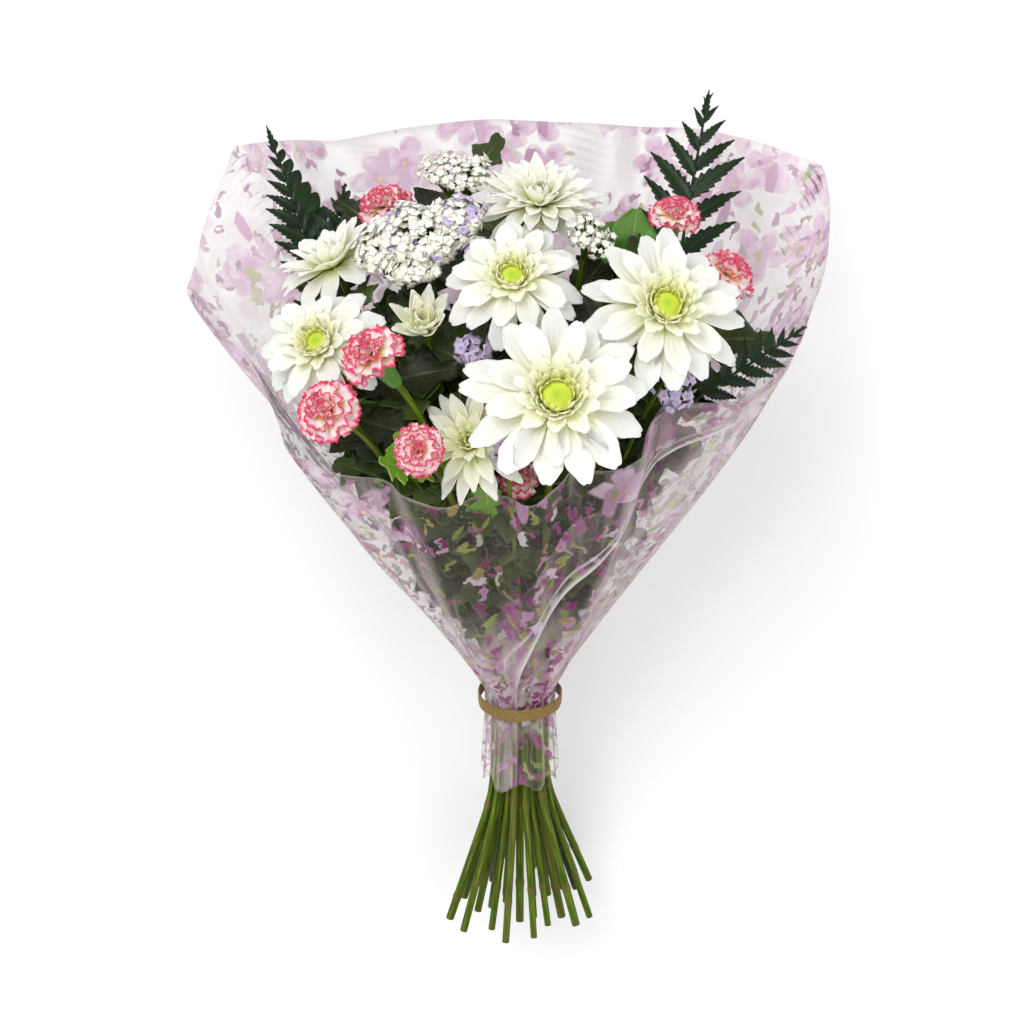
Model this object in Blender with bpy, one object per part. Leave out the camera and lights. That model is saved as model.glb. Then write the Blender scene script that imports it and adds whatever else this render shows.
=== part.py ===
"""Mixed flower bouquet in a film wrap, laid on its back.

The bunch is modelled with its own axis along +Z and the middle of its tie at the origin; the side that is
seen faces -Y. An empty then lays it down, stems towards -Y and flowers towards +Y. Lengths are metres.
"""
import math
import random

import bmesh
import bpy
import numpy as np
from mathutils import Matrix, Vector

CLEAR = 0.0003          # gap between touching pieces
STEM_PITCH = 0.00465    # spacing of the stems in the tie
TIE_HALF = 0.012        # the stems stand closest this far above the middle of the tie
BEND_SHARES = (0.0, 0.38, 0.76, 1.0)  # where a stem bends between the tie and its bloom
SKIRT_LENGTH = 0.046    # the film below the tie
TIE_TOP = 0.004         # height at which the film starts to open
THIN_STEM = 0.0020      # half the width across the corners of a fern's or filler's stem
STEM_FOOT = -0.121      # mean height of the cut ends
FOOT_SPREAD = 3.1       # how much wider the cut ends stand than the tie
BLADE_THICK = 0.0008    # thickness of petals and leaves along their rib
FILM_THICK = 0.0006
FILM_NECK_RADIUS = 0.0166
FILM_PLEATS = 11
PLEAT_DEPTH = 0.0011
FILM_OVERLAP = 34.0     # degrees of the roll that lie double
FILM_LAYER_GAP = 0.0016
BAND_WIDTH = 0.00635
BAND_THICK = 0.0011
LAY_ANGLE = 20.2        # degrees between the laid bunch's axis and the table

# Rim of the film: angle from the front towards +X, distance from the axis, height.
FILM_RIM = (
    (-180, 0.187, 0.235), (-151, 0.193, 0.233), (-130, 0.191, 0.243), (-117, 0.175, 0.203),
    (-111, 0.171, 0.195), (-104, 0.152, 0.183), (-94, 0.131, 0.172), (-80, 0.112, 0.157),
    (-63, 0.096, 0.144), (-51, 0.086, 0.142), (-40, 0.076, 0.142), (-28, 0.068, 0.139),
    (-9, 0.059, 0.138), (0, 0.058, 0.139), (18, 0.059, 0.145), (43, 0.065, 0.153),
    (55, 0.070, 0.164), (67, 0.077, 0.171), (81, 0.094, 0.170), (94, 0.119, 0.170),
    (105, 0.148, 0.176), (129, 0.190, 0.238), (151, 0.194, 0.236),
)

# Petal layers of a chrysanthemum: count, rise and droop in degrees, length and half width as shares of
# the bloom's radius, and 1 where the petal ends in a point.
OPEN_LAYERS = ((12, 1, 14, 1.0, 0.175, 0), (8, 22, 16, 0.86, 0.19, 0), (5, 56, 6, 0.40, 0.10, 1))
DROOP_LAYERS = ((10, -3, 32, 1.0, 0.19, 0), (7, 20, 24, 0.85, 0.19, 0), (3, 54, 6, 0.42, 0.13, 1))
CUP_LAYERS = ((9, 12, 24, 1.0, 0.20, 0), (6, 38, 12, 0.80, 0.19, 0), (3, 62, 0, 0.42, 0.13, 1))
SHAG_LAYERS = ((10, 4, 22, 1.0, 0.17, 1), (7, 28, 16, 0.84, 0.17, 1), (4, 54, 6, 0.56, 0.13, 1))
BUD_LAYERS = ((6, 50, -14, 1.25, 0.27, 1), (4, 70, -8, 1.0, 0.22, 1))
SPIDER_LAYERS = ((9, 26, 18, 1.1, 0.12, 1), (5, 60, 10, 0.75, 0.11, 1))

MUMS = {
    "mum_front": dict(centre=(0.016, -0.083, 0.2025), facing=(0.04, -0.73, 0.68), radius=0.043,
                      layers=OPEN_LAYERS, turn=10),
    "mum_right": dict(centre=(0.066, -0.040, 0.228), facing=(0.22, -0.66, 0.72), radius=0.040,
                      layers=OPEN_LAYERS, turn=11),
    "mum_middle": dict(centre=(-0.004, -0.030, 0.238), facing=(-0.05, -0.62, 0.78), radius=0.032,
                       layers=DROOP_LAYERS, turn=0),
    "mum_left_low": dict(centre=(-0.093, -0.036, 0.208), facing=(-0.36, -0.60, 0.71), radius=0.031,
                         layers=DROOP_LAYERS, turn=12),
    "mum_left_high": dict(centre=(-0.089, 0.024, 0.223), facing=(-0.42, 0.02, 0.90), radius=0.029,
                          layers=CUP_LAYERS, turn=3),
    "mum_back": dict(centre=(0.009, 0.037, 0.249), facing=(0.02, -0.25, 0.97), radius=0.031,
                     layers=SHAG_LAYERS, turn=10),
    "mum_bud": dict(centre=(-0.044, -0.019, 0.207), facing=(-0.15, -0.45, 0.88), radius=0.016,
                    layers=BUD_LAYERS, turn=0),
    "mum_spider": dict(centre=(-0.023, -0.058, 0.168), facing=(-0.15, -0.75, 0.62), radius=0.022,
                       layers=SPIDER_LAYERS, turn=4),
}
NO_EYE = ("mum_bud", "mum_spider")  # half-open blooms

CARNATIONS = {
    "carnation_left": dict(centre=(-0.087, -0.071, 0.190), facing=(-0.45, -0.62, 0.64), radius=0.0155),
    "carnation_leaning": dict(centre=(-0.067, -0.066, 0.215), facing=(-0.52, -0.30, 0.80), radius=0.0150),
    "carnation_low": dict(centre=(-0.046, -0.082, 0.176), facing=(-0.20, -0.80, 0.56), radius=0.0120),
    "carnation_back_left": dict(centre=(-0.065, 0.054, 0.240), facing=(-0.25, -0.10, 0.96), radius=0.0135),
    "carnation_back_right": dict(centre=(0.073, 0.034, 0.243), facing=(0.15, -0.15, 0.97), radius=0.0125),
    "carnation_right": dict(centre=(0.098, 0.020, 0.219), facing=(0.50, -0.15, 0.85), radius=0.0140),
    "carnation_hidden": dict(centre=(-0.001, -0.036, 0.139), facing=(0.05, -0.60, 0.80), radius=0.0100),
}

# Fern fronds: foot and tip of the leafy part, the way its face looks, leaflets on a side, longest leaflet.
FERNS = {
    "fern_left": dict(foot=(-0.092, 0.066, 0.172), tip=(-0.127, 0.128, 0.254), face=(0.25, -0.85, 0.45),
                      pairs=5, reach=0.026),
    "fern_right": dict(foot=(0.074, 0.050, 0.190), tip=(0.094, 0.127, 0.273), face=(-0.1, -0.82, 0.55),
                       pairs=6, reach=0.030),
    "fern_low_right": dict(foot=(0.090, -0.003, 0.170), tip=(0.136, 0.012, 0.196), face=(0.2, -0.9, 0.35),
                           pairs=3, reach=0.014),
    "fern_middle_left": dict(foot=(-0.090, 0.060, 0.190), tip=(-0.086, 0.086, 0.240), face=(0.1, -0.9, 0.4),
                             pairs=3, reach=0.020),
}

# Filler heads: middle, the way the head looks, half sizes, florets, colour.
FILLERS = {
    "statice_white": dict(centre=(-0.046, 0.012, 0.243), facing=(-0.1, -0.45, 0.88), half=(0.022, 0.016, 0.006),
                          florets=13, tint="white"),
    "filler_round": dict(centre=(-0.031, 0.062, 0.254), facing=(0, -0.3, 0.95), half=(0.015, 0.011, 0.006),
                         florets=10, tint="white"),
    "filler_buds": dict(centre=(0.031, 0.012, 0.243), facing=(0.1, -0.4, 0.9), half=(0.006, 0.010, 0.005),
                        florets=6, tint="white"),
    "statice_lilac_middle": dict(centre=(-0.022, -0.034, 0.203), facing=(-0.2, -0.8, 0.6),
                                 half=(0.005, 0.004, 0.003), florets=5, tint="lilac"),
    "statice_lilac_front": dict(centre=(-0.006, -0.072, 0.170), facing=(0, -0.6, 0.75),
                                half=(0.004, 0.006, 0.003), florets=6, tint="lilac"),
    "statice_lilac_right": dict(centre=(0.070, -0.032, 0.187), facing=(0.3, -0.8, 0.5),
                                half=(0.006, 0.009, 0.003), florets=6, tint="lilac"),
}

# Leafy stems: where they end, and the way they head there.
LEAFY = {
    "leafy_left": dict(tip=(-0.053, -0.052, 0.150), facing=(-0.5, -0.5, 0.7)),
    "leafy_front": dict(tip=(-0.015, -0.045, 0.124), facing=(-0.2, -0.7, 0.7)),
    "leafy_right": dict(tip=(0.052, 0.030, 0.226), facing=(0.1, -0.3, 0.95)),
}

# Leaves on the stems: share of the way from tie to bloom, heading, length, half width.
LEAVES = {
    "mum_front": ((0.50, (0.7, 0.5, 0.55), 0.034, 0.012),),
    "mum_right": ((0.55, (0.5, 0.7, 0.5), 0.042, 0.014), (0.76, (0.4, 0.8, 0.45), 0.036, 0.012)),
    "mum_left_low": ((0.60, (-0.85, -0.1, 0.5), 0.046, 0.015), (0.45, (-0.5, -0.6, 0.6), 0.036, 0.012)),
    "mum_middle": ((0.66, (-0.7, 0.35, 0.6), 0.030, 0.011), (0.70, (0.75, -0.2, 0.6), 0.034, 0.012)),
    "mum_bud": ((0.72, (-0.75, -0.2, 0.6), 0.030, 0.011),),
    "mum_spider": ((0.55, (0.5, -0.4, 0.75), 0.030, 0.010),),
    "mum_left_high": ((0.60, (-0.8, 0.5, 0.4), 0.050, 0.015), (0.80, (-0.7, 0.6, 0.3), 0.036, 0.012)),
    "mum_back": ((0.70, (0.1, 0.9, 0.5), 0.045, 0.014), (0.72, (-0.6, 0.7, 0.5), 0.040, 0.013)),
    "leafy_left": ((0.95, (-0.2, -0.2, 0.95), 0.026, 0.010), (0.97, (-0.5, -0.6, 0.6), 0.024, 0.010)),
    "leafy_front": ((0.96, (-0.08, -0.30, 0.90), 0.026, 0.009), (0.94, (-0.6, 0.1, 0.7), 0.016, 0.008)),
    "leafy_right": ((0.75, (-0.2, 0.85, 0.5), 0.032, 0.012), (0.97, (0.15, 0.3, 0.95), 0.024, 0.011),
                    (0.97, (-0.6, 0.1, 0.75), 0.022, 0.010)),
}

# Colour and roughness of each material.
COLOURS = {
    "petal_white": ((0.90, 0.90, 0.84), 0.55),
    "mum_eye": ((0.60, 0.68, 0.10), 0.60),
    "stem_green": ((0.13, 0.24, 0.06), 0.55),
    "carnation_pink": ((0.78, 0.16, 0.27), 0.60),
    "fern_green": ((0.02, 0.08, 0.03), 0.45),
    "filler_white": ((0.88, 0.88, 0.80), 0.65),
    "filler_lilac": ((0.52, 0.40, 0.72), 0.65),
    "leaf_green": ((0.20, 0.38, 0.08), 0.50),
    "film": ((0.86, 0.74, 0.84), 0.15),
    "rubber": ((0.45, 0.33, 0.13), 0.50),
}


def unit(v):
    v = np.asarray(v, float)
    return v / np.linalg.norm(v)


def basis(facing):
    """Columns: across, up the bloom, and facing."""
    z = unit(facing)
    x = unit(np.cross((0, 0, 1), z)) if abs(z[2]) < 0.99 else np.array((1.0, 0, 0))
    return np.column_stack((x, np.cross(z, x), z))


def material(name):
    made = bpy.data.materials.get(name)
    if made:
        return made
    colour, rough = COLOURS[name]
    made = bpy.data.materials.new(name)
    made.use_nodes = True
    shader = made.node_tree.nodes["Principled BSDF"]
    shader.inputs["Base Color"].default_value = (*colour, 1)
    shader.inputs["Roughness"].default_value = rough
    made.diffuse_color = (*colour, 1)
    return made


def add_object(name, mesh, collection):
    obj = bpy.data.objects.new(name, mesh)
    collection.objects.link(obj)
    return obj


def close_mesh(bm, name):
    bmesh.ops.remove_doubles(bm, verts=bm.verts, dist=1e-7)
    bmesh.ops.recalc_face_normals(bm, faces=bm.faces)
    mesh = bpy.data.meshes.new(name)
    bm.to_mesh(mesh)
    bm.free()
    return mesh


def mesh_of(name, points, faces):
    bm = bmesh.new()
    verts = [bm.verts.new(p) for p in points]
    for face in faces:
        bm.faces.new([verts[i] for i in face])
    return close_mesh(bm, name)


def blade(mid, side, up, half, cup=0.15, thick=BLADE_THICK, wave=0.0, point=True):
    """Thin closed blade along a midline: at each station a flat rhombus of left edge, upper rib, right edge
    and lower rib, with the edges raised by cup times the half width and waved in turn by wave times it."""
    mid, side, up = (np.asarray(a, float) for a in (mid, side, up))
    half = np.asarray(half, float)[:, None]
    n = len(mid)
    rock = wave * half * np.where(np.arange(n) % 2 == 0, 1.0, -1.0)[:, None]
    left = mid - side * half + up * (cup * half + rock)
    right = mid + side * half + up * (cup * half - rock)
    rows = [np.stack((left[i], mid[i] + up[i] * thick / 2, right[i], mid[i] - up[i] * thick / 2))
            for i in range(n)]
    points = [tuple(p) for row in rows for p in row]
    faces = []
    last = n - 2 if point else n - 1
    for i in range(last):
        a, b = 4 * i, 4 * i + 4
        for j, outer in ((0, 0), (1, 2), (2, 2), (3, 0)):
            k = (j + 1) % 4
            # each strip is cut from its outer edge, so the upper and lower faces are split alike
            if j == outer:
                faces += [(a + j, a + k, b + k), (a + j, b + k, b + j)]
            else:
                faces += [(a + k, b + k, b + j), (a + k, b + j, a + j)]
    if point:
        points = points[:4 * (n - 1)] + [tuple(mid[-1])]
        tip = len(points) - 1
        a = 4 * (n - 2)
        faces += [(a + j, a + (j + 1) % 4, tip) for j in range(4)]
    else:
        a = 4 * (n - 1)
        faces += [(a, a + 1, a + 3), (a + 1, a + 2, a + 3)]
    faces += [(0, 1, 3), (1, 2, 3)]
    return mesh_of("blade", points, faces)


def arc_blade(origin, frame, heading, rise, droop, root, length, half, shape, **options):
    """Blade that starts root from the axis of a bloom's frame, at a heading round it, and bends down by
    droop degrees along its length. shape holds the shares of length and of half width."""
    share, width = np.array(shape).T
    fine = np.linspace(0, 1, 41)
    bend = np.radians(rise - droop * fine)
    out = root + length * np.concatenate(((0,), np.cumsum(np.cos(bend[1:]) / 40)))
    high = length * np.concatenate(((0,), np.cumsum(np.sin(bend[1:]) / 40)))
    out, high = np.interp(share, fine, out), np.interp(share, fine, high)
    bend = np.radians(rise - droop * share)
    a = math.radians(heading)
    radial = frame @ np.array((math.cos(a), math.sin(a), 0))
    across = frame @ np.array((-math.sin(a), math.cos(a), 0))
    axis = frame[:, 2]
    mid = np.asarray(origin) + np.outer(out, radial) + np.outer(high, axis)
    up = np.outer(np.cos(bend), axis) - np.outer(np.sin(bend), radial)
    side = np.repeat(across[None], len(share), 0)
    return blade(mid, side, up, width * half, **options)


def cone_mesh(sides, low, high, height, matrix):
    bm = bmesh.new()
    bmesh.ops.create_cone(bm, cap_ends=True, cap_tris=False, segments=sides, radius1=low, radius2=high,
                          depth=height, matrix=matrix)
    return close_mesh(bm, "cone")


def placed(origin, frame):
    matrix = Matrix([list(row) for row in frame]).to_4x4()
    matrix.translation = Vector(origin)
    return matrix


def tube_mesh(path, radii, resolution=1):
    """Tube along a path, as a bevelled curve with filled caps made into one closed mesh."""
    curve = bpy.data.curves.new("tube", "CURVE")
    curve.dimensions = "3D"
    curve.bevel_depth = 1.0
    curve.bevel_resolution = resolution
    curve.use_fill_caps = True
    spline = curve.splines.new("POLY")
    spline.points.add(len(path) - 1)
    for point, place, radius in zip(spline.points, path, radii):
        point.co = (*place, 1)
        point.radius = radius
    obj = add_object("tube", curve, bpy.context.scene.collection)
    bpy.context.view_layer.update()
    mesh = bpy.data.meshes.new_from_object(obj.evaluated_get(bpy.context.evaluated_depsgraph_get()))
    bpy.data.objects.remove(obj)
    bm = bmesh.new()
    bm.from_mesh(mesh)
    return close_mesh(bm, "tube")


def union(name, meshes, colour):
    """Fuses a node's repeats into one body."""
    obj = add_object(name, meshes[0], bouquet)
    for i, mesh in enumerate(meshes[1:]):
        add_object(f"{name}_{i}", mesh, helpers)
    if len(meshes) > 1:
        fuse = obj.modifiers.new("fuse", "BOOLEAN")
        fuse.operation = "UNION"
        fuse.operand_type = "COLLECTION"
        fuse.collection = helpers
        fuse.solver = "MANIFOLD"
        bpy.context.view_layer.update()
        whole = obj.evaluated_get(bpy.context.evaluated_depsgraph_get())
        mesh = bpy.data.meshes.new_from_object(whole)
        obj.modifiers.clear()
        obj.data = mesh
    for helper in list(helpers.objects):
        bpy.data.objects.remove(helper)
    obj.data.name = name
    obj.data.materials.clear()
    obj.data.materials.append(material(colour))
    obj.parent = pose
    return obj


def hex_places(count):
    """The stems' places in the tie: the points of a hexagonal net nearest its middle."""
    net = [(STEM_PITCH * (i + j / 2), STEM_PITCH * j * math.sqrt(3) / 2)
           for i in range(-5, 6) for j in range(-5, 6)]
    net.sort(key=lambda p: (round(math.hypot(*p), 7), math.atan2(p[1], p[0])))
    return np.array(net[:count])


def share_places(targets):
    """Gives each stem a place in the tie so that no two stems cross: two stems swap places for as long as
    that shortens the sum of their squared offsets."""
    places = hex_places(len(targets))
    wanted = np.array([(t[0], t[1]) for t in targets])
    order = list(range(len(targets)))
    swapped = True
    while swapped:
        swapped = False
        for i in range(len(order)):
            for j in range(i):
                gain = np.dot(places[order[i]] - places[order[j]], wanted[i] - wanted[j])
                if gain < -1e-12:
                    order[i], order[j] = order[j], order[i]
                    swapped = True
    return places[order]


def stem_path(place, top, facing, foot):
    """From the cut end, through the tie, and in one bend to the underside of the bloom."""
    px, py = place
    low = [np.array((px * FOOT_SPREAD, py * FOOT_SPREAD * 0.85, foot)),
           np.array((px * 1.13, py * 1.13, -SKIRT_LENGTH - 0.004))]
    start = np.array((px, py, TIE_HALF))
    top = np.asarray(top)
    reach = np.linalg.norm(top - start)
    first = start + unit(unit(top - start) + (0, 0, 0.30)) * reach * 0.38
    second = top - unit(facing) * reach * 0.20
    bends = []
    for t in BEND_SHARES:
        bends.append((1 - t) ** 3 * start + 3 * (1 - t) ** 2 * t * first + 3 * (1 - t) * t * t * second
                     + t ** 3 * top)
    return low + bends


def stem_mesh(name, radius, resolution=1, taper=0.8):
    path = stems[name]
    radii = [radius] * 3 + [radius * (1 + (taper - 1) * t) for t in BEND_SHARES[1:]]
    return tube_mesh(path, radii, resolution)


def leaf(root, heading, face, length, half, shape, **options):
    """Leaf that leaves its stem at root along heading, with its upper face towards face."""
    heading = unit(heading)
    side = unit(np.cross(heading, unit(face)))
    up = np.cross(side, heading)
    frame = np.column_stack((heading, -side, up))
    return arc_blade(root, frame, 0, 12, 30, 0, length, half, shape, **options)


LOBED = ((0, 0.14), (0.30, 0.92), (0.44, 0.42), (0.68, 1.0), (0.82, 0.50), (1, 0))
ROUND_LEAF = ((0, 0.20), (0.40, 1.0), (0.78, 0.72), (1, 0))
PINNA = ((0, 0.30), (0.22, 1.0), (0.36, 0.50), (0.58, 0.70), (1, 0))


def bloom_meshes(spec):
    """Receptacle with the petals in layers round it."""
    frame, radius, origin = basis(spec["facing"]), spec["radius"], np.array(spec["centre"])
    core = cone_mesh(9, 0.15 * radius, 0.22 * radius, 0.15 * radius,
                     placed(origin - frame[:, 2] * 0.055 * radius, frame))
    meshes = [core]
    for level, (count, rise, droop, length, half, pointed) in enumerate(spec["layers"]):
        root = 0.17 * radius
        if pointed:
            shape = ((0, 0.28), (0.60, 1.0), (1, 0))
        else:
            shape = ((0, 0.20), (0.42, 0.66), (0.78, 1.0), (1, 0.40)) if level == 0 else (
                (0, 0.22), (0.68, 1.0), (1, 0.42))
        for i in range(count):
            jog = rng.uniform(-1, 1)
            heading = 360 * (i + 0.5 * level) / count + spec["turn"] + 1.5 * jog
            base = origin + frame[:, 2] * (0.035 * level - 0.055) * radius
            meshes.append(arc_blade(base, frame, heading, rise + 3 * rng.uniform(-1, 1), droop, root,
                                    length * radius * (1 + 0.05 * rng.uniform(-1, 1)) - root,
                                    half * radius, shape, cup=0.22, point=bool(pointed)))
    return meshes


def eye_mesh(spec):
    """Dome of packed florets: a low ball whose surface rises and falls in a spiral."""
    frame, radius = basis(spec["facing"]), 0.15 * spec["radius"]
    origin = np.array(spec["centre"]) + frame[:, 2] * (0.02 * spec["radius"] + CLEAR)
    sides, rings = 8, (1.0, 0.92, 0.55)
    points, faces = [], []
    for level, share in enumerate(rings):
        for i in range(sides):
            a = 2 * math.pi * (i + 0.5 * level) / sides
            bump = 1 + 0.10 * (1 if (i + level) % 2 else -1) * (level > 0)
            height = (0.0, 0.42, 0.72)[level] * radius * bump
            local = np.array((share * radius * math.cos(a), share * radius * math.sin(a), height))
            points.append(tuple(origin + frame @ local))
    for level in range(len(rings) - 1):
        for i in range(sides):
            a, b = level * sides + i, level * sides + (i + 1) % sides
            c, d = a + sides, b + sides
            faces += [(a, b, c), (b, d, c)]
    top = len(points)
    points.append(tuple(origin + frame[:, 2] * 0.60 * radius))
    last = (len(rings) - 1) * sides
    faces += [(last + i, last + (i + 1) % sides, top) for i in range(sides)]
    faces.append(tuple(range(sides - 1, -1, -1)))
    return mesh_of("eye", points, faces)


def make_mum(name, spec):
    frame, radius, origin = basis(spec["facing"]), spec["radius"], np.array(spec["centre"])
    union(f"{name}_petals", bloom_meshes(spec), "petal_white")
    if name not in NO_EYE:
        union(f"{name}_eye", [eye_mesh(spec)], "mum_eye")
    depth = 0.13 * radius + 0.002
    cup_top = origin - frame[:, 2] * (0.13 * radius + CLEAR)
    cup = cone_mesh(6, 0.0026, 0.145 * radius, depth, placed(cup_top - frame[:, 2] * depth / 2, frame))
    parts = [stem_mesh(name, 0.0022), cup]
    for leaf_spec in LEAVES.get(name, ()):
        parts.append(stem_leaf(name, leaf_spec, LOBED))
    union(f"{name}_stem", parts, "stem_green")


def stem_leaf(name, leaf_spec, shape):
    """A leaf on a stem: share of the way from the tie to the bloom, heading, length, half width."""
    share, heading, length, half = leaf_spec
    upper = np.array(stems[name][2:])
    root = np.array([np.interp(share, BEND_SHARES, upper[:, k]) for k in range(3)])
    outward = np.array((root[0], root[1], 0.0))
    face = (0, -0.6, 0.8) if np.linalg.norm(outward) < 1e-4 else unit(outward) * 0.2 + np.array((0, -0.5, 0.7))
    return leaf(root, heading, face, length, half, shape, cup=0.1)


def carnation_petal(origin, frame, heading, rise, root, length, spread, teeth):
    """Fan-shaped petal: two root corners, a middle row and a toothed, frilled rim that both faces share."""
    a = math.radians(heading)
    radial = frame @ np.array((math.cos(a), math.sin(a), 0))
    across = frame @ np.array((-math.sin(a), math.cos(a), 0))
    tilt = math.radians(rise)
    out = radial * math.cos(tilt) + frame[:, 2] * math.sin(tilt)
    up = frame[:, 2] * math.cos(tilt) - radial * math.sin(tilt)
    base = np.asarray(origin) + radial * root
    points, faces = [], []

    def add(forward, sideways, lift):
        points.append(tuple(base + out * forward + across * sideways + up * lift))
        return len(points) - 1

    low = [add(0, s * 0.28 * spread, 0) for s in (-1, 1)]
    rim = []
    for i in range(teeth):
        u = 2 * i / (teeth - 1) - 1
        tooth = 0.07 * (1 if i % 2 == 0 else -1)
        rim.append(add(length * (1 - 0.20 * u * u + tooth), spread * 1.05 * u,
                       length * 0.13 * (1 if i % 2 else -1) + 0.10 * length * u * u))
    for sign in (1, -1):
        row = [add(length * 0.60, spread * 0.52 * u, sign * BLADE_THICK / 2) for u in (-1, 0, 1)]
        faces += [(low[0], low[1], row[1]), (low[0], row[1], row[0]), (low[1], row[2], row[1]),
                  (low[0], row[0], rim[0]), (low[1], rim[-1], row[2])]
        # each middle point fans out to its share of the rim
        shares = (0, 2, 4, 6) if teeth == 7 else (0, 1, 3, 4)
        for k in range(3):
            faces += [(row[k], rim[i + 1], rim[i]) for i in range(shares[k], shares[k + 1])]
        faces += [(row[0], row[1], rim[shares[1]]), (row[1], row[2], rim[shares[2]])]
    return mesh_of("petal", points, faces)


def make_carnation(name, spec):
    frame, radius, origin = basis(spec["facing"]), spec["radius"], np.array(spec["centre"])
    meshes = [cone_mesh(7, 0.20 * radius, 0.44 * radius, 0.62 * radius,
                        placed(origin - frame[:, 2] * 0.20 * radius, frame))]
    for count, rise, length, high, teeth in ((5, 2, 0.80, -0.06, 7), (3, 38, 0.72, 0.03, 5),
                                             (1, 72, 0.60, 0.06, 5)):
        for i in range(count):
            heading = 360 * i / count + 30 * rise / 34 + 3 * rng.uniform(-1, 1)
            base = origin + frame[:, 2] * high * radius
            meshes.append(carnation_petal(base, frame, heading, rise, 0.24 * radius * (rise < 60) + 0.0006,
                                          length * radius, 0.52 * radius, teeth))
    union(f"{name}_petals", meshes, "carnation_pink")
    height = 0.95 * radius
    top = origin - frame[:, 2] * (0.51 * radius + CLEAR)
    calyx = cone_mesh(6, 0.0024, 0.30 * radius, height, placed(top - frame[:, 2] * height / 2, frame))
    union(f"{name}_stem", [stem_mesh(name, 0.0021, taper=0.9), calyx], "stem_green")


def make_fern(name, spec):
    """A stalk with pairs of toothed leaflets that shorten towards the tip."""
    foot, tip, face = (np.array(spec[k]) for k in ("foot", "tip", "face"))
    along = unit(tip - foot)
    side = unit(np.cross(along, face))
    length = np.linalg.norm(tip - foot)
    bow = np.cross(side, along)
    shares = (0, 0.35, 0.68, 0.97)
    rib = np.array([foot + along * length * t + bow * 0.05 * length * math.sin(math.pi * t) for t in shares])
    path = stems[name][:-1] + list(rib)
    radii = [THIN_STEM] * 3 + list(np.linspace(0.0017, 0.0012, len(path) - 6)) + [0.0011, 0.0010, 0.0008]
    meshes = [tube_mesh(path, radii, 0)]
    for i in range(spec["pairs"]):
        t = (i + 0.5) / spec["pairs"] * 0.90
        root = np.array([np.interp(t, shares, rib[:, k]) for k in range(3)])
        reach = spec["reach"] * min(1.0, 1.25 * (1 - t) + 0.12)
        for sign in (-1, 1):
            heading = along * 0.62 + side * sign * 0.78
            start = root + side * sign * 0.0004 + along * sign * 0.0013
            meshes.append(leaf(start, heading, bow, reach, 0.20 * reach, PINNA, cup=0.12))
    meshes.append(leaf(rib[-1] - along * 0.002, along, bow, 0.08 * length, 0.0030, ROUND_LEAF, cup=0.12))
    union(name, meshes, "fern_green")


def make_filler(name, spec):
    """A cluster of small funnel-shaped florets on a low core, on a branched stem."""
    frame, origin, half = basis(spec["facing"]), np.array(spec["centre"]), np.array(spec["half"])
    bm = bmesh.new()
    squash = Matrix.Diagonal((*half, 1))
    bmesh.ops.create_icosphere(bm, subdivisions=1, radius=1.0, matrix=placed(origin, frame) @ squash)
    meshes = [close_mesh(bm, "core")]
    size = 0.0042
    for i in range(spec["florets"]):
        share = (i + 0.5) / spec["florets"]
        a = i * 2.39996
        lean = math.acos(1 - 1.05 * share)
        way = np.array((math.sin(lean) * math.cos(a), math.sin(lean) * math.sin(a), math.cos(lean)))
        place = origin + frame @ (way * half * 0.84)
        out = unit(frame @ (way / half))
        spot = basis(out)
        meshes.append(cone_mesh(4, 0.0012, size * rng.uniform(0.8, 1.05), size * 1.4,
                                placed(place + out * size * 0.30, spot)))
    union(f"{name}_florets", meshes, f"filler_{spec['tint']}")
    parts = [stem_mesh(name, THIN_STEM, 0, 0.6)]
    if half[0] > 0.010:
        fork = stems[name][-2]
        for way in ((0.62, 0.0), (-0.62, 0.1), (0.0, 0.6)):
            end = origin + frame @ (np.array((way[0], way[1], 0.0)) * half)
            end = end - frame[:, 2] * (half[2] * 0.85 + 0.0012)
            parts.append(tube_mesh([fork, (np.array(fork) + end) / 2 - frame[:, 2] * 0.003, end],
                                   [0.0012, 0.0011, 0.0010], 0))
    union(f"{name}_stem", parts, "leaf_green")


def make_leafy(name):
    parts = [stem_mesh(name, THIN_STEM, 0, 0.6)]
    for leaf_spec in LEAVES[name]:
        shape = ROUND_LEAF if name == "leafy_right" else LOBED
        parts.append(stem_leaf(name, leaf_spec, shape))
    union(name, parts, "leaf_green")


def rim_at(angle):
    """Distance from the axis and height of the film's rim at an angle from the front, in degrees."""
    table = np.array(FILM_RIM)
    table = np.vstack((table, table[0] + (360, 0, 0)))
    angle = (np.asarray(angle) + 180) % 360 - 180
    return np.interp(angle, table[:, 0], table[:, 1]), np.interp(angle, table[:, 0], table[:, 2])


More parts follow.
